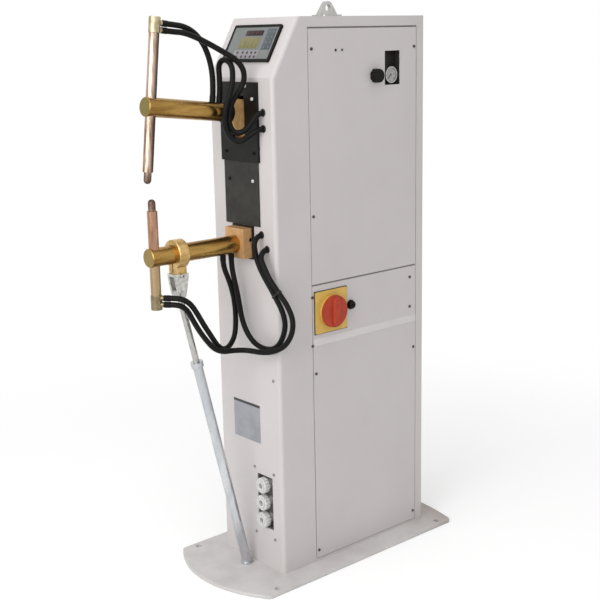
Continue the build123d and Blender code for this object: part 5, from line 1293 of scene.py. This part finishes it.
@dataclass
class AirPanel:
    """The regulator's knob and the gauge with its dial, figures and lens."""

    centre: Point = (103.5, 128.0, 1127.0)
    zero: float = 225.0
    sweep: float = 270.0
    top_value: int = 10
    dial_radius: float = 16.3
    dial_thickness: float = 0.3
    lens_lift: float = 2.3
    lens: Profile = ((0, 0), (1, 0), (1, 0.5), (0.66, 0.8), (0.33, 1.0), (0, 1.1))
    print_lift: float = 0.32
    tick_lengths: Spot = (3.2, 1.8)
    long_every: int = 4
    tick_inset: float = 0.8
    tick: Area = (0.55, 0.08, 0.1, 0.02)
    figure_height: float = 4.0
    figure_share: float = 0.6
    well_floor: float = 89.0
    rib: Form = (47.0, 3.0, 1.8, 0.6, 0.5)
    rib_heights: tuple[float, ...] = (1151.0, 1158.0, 1165.0, 1172.0)

    def build(self) -> None:
        """Dresses the regulator and builds the gauge's face."""
        dress(ABS, "regulator_knob")
        dress(ABS_GREY, "regulator_housing")
        dress(ZINC, "gauge_case")
        dress(INK, "gauge_needle")
        ribs = [Seat((self.well_floor, self.centre[1], z), RIGHT_OUT).matrix() for z in self.rib_heights]
        piece("gauge_well_ribs", repeated(lambda: slab(*self.rib), ribs), ABS_GREY)
        self.face()
        self.figures()

    def seat(self, lift: float) -> Seat:
        """Gives a seat in front of the dial by lift mm."""
        x, y, z = self.centre
        return Seat((x + lift, y, z), RIGHT_OUT)

    def face(self) -> None:
        """Builds the dial and the clear lens."""
        radius, deep = self.dial_radius, self.dial_thickness
        bulge = tuple((share * radius, height) for share, height in self.lens)
        for name, lift, profile, finish in (
            ("gauge_dial", 0.0, ((0, 0), (radius, 0), (radius, deep), (0, deep)), DIAL),
            ("gauge_lens", self.lens_lift, bulge, LENS),
        ):
            piece(name, placed(lathe(profile, DIAL_SIDES), self.seat(lift).matrix()), finish)

    def around(self, share: float, reach: float) -> tuple[float, float, float]:
        """Gives the place on the dial at a share of its range and a reach in mm, and the angle there."""
        angle = math.radians(self.zero - self.sweep * share)
        return reach * math.cos(angle), reach * math.sin(angle), math.degrees(angle)

    def figures(self) -> None:
        """Prints the ticks and plain figures on the dial."""
        seat = self.seat(self.print_lift)
        shapes = []
        for step in range(self.top_value * 2 + 1):
            long = self.tick_lengths[1 if step % self.long_every else 0]
            reach = self.dial_radius - self.tick_inset - long / 2
            spot = self.around(step / (self.top_value * 2), reach)
            shapes.append(placed(slab(long, *self.tick), seat.matrix(*spot)))
        for value in range(0, self.top_value + 1, 2):
            across, rise, _ = self.around(value / self.top_value, self.dial_radius * self.figure_share)
            shapes.append(placed(text_shape(str(value), self.figure_height), seat.matrix(across, rise)))
        piece("gauge_figures", joined(shapes), INK)


@dataclass
class SidePanel:
    """The main switch on its gasket, and the fuse holder."""

    plate: Area = (-122.5, -25.5, 560.5, 657.5)
    rim: float = 1.5
    gasket_depth: float = 1.6
    gasket_edge: float = 0.3

    def build(self) -> None:
        """Dresses the switch and the fuse, and lets the gasket show round the plate."""
        left, right, low, high = self.plate
        strips = [
            side_strip(SIDE_FACE, area, self.gasket_depth, self.gasket_edge)
            for area in (
                (left - self.rim, right + self.rim, high, high + self.rim),
                (left - self.rim, right + self.rim, low - self.rim, low),
                (left - self.rim, left, low, high),
                (right, right + self.rim, low, high),
            )
        ]
        piece("switch_gasket", joined(strips), ABS_GREY)
        dress(YELLOW, "main_switch_plate")
        dress(RED, "main_switch_knob")
        dress(ABS, "main_switch_body", "fuse_holder", "fuse_cap")


@dataclass
class Connections:
    """The three couplings in the recessed tray, with a raised ring on each face."""

    seat: Seat = Seat((49.0, -242.0, 0.0), FRONT_OUT)
    heights: tuple[float, ...] = (128.0, 170.0, 212.0)
    ring: Profile = (
        (13.2, -0.2), (16.6, -0.2), (16.6, 0.7), (16.0, 1.2), (13.8, 1.2), (13.2, 0.7), (13.2, -0.2),
    )

    def build(self) -> None:
        """Dresses the couplings and adds their rings."""
        dress(NYLON, "hose_couplings")
        places = self.seat.places([(0.0, height) for height in self.heights])
        piece("coupling_rings", repeated(lambda: lathe(self.ring), places), NYLON)


@dataclass
class InnerWorks:
    """What is inside the cabinet: transformer, cylinder, valve and thyristors."""

    plain: dict[str, Finish] = field(default_factory=lambda: {
        "air_cylinder": ALUMINIUM, "air_valve": ABS, "transformer_core": CORE, "transformer_coils": COIL,
        "thyristor_module": ALUMINIUM,
    })

    def build(self) -> None:
        """Dresses the inner nodes."""
        for name, finish in self.plain.items():
            dress(finish, name)


def main() -> None:
    """Builds the studio, then the machine from its hoses to its inner works."""
    logging.basicConfig(level=logging.INFO, format="%(name)s: %(message)s")
    builders = (
        Studio(), WaterHoses(), Cabinet(), ControlUnit(), Shields(), Arms(), AirPanel(), SidePanel(),
        Connections(), InnerWorks(),
    )
    for builder in builders:
        LOG.info("building %s", type(builder).__name__)
        builder.build()


if __name__ == "__main__":
    main()
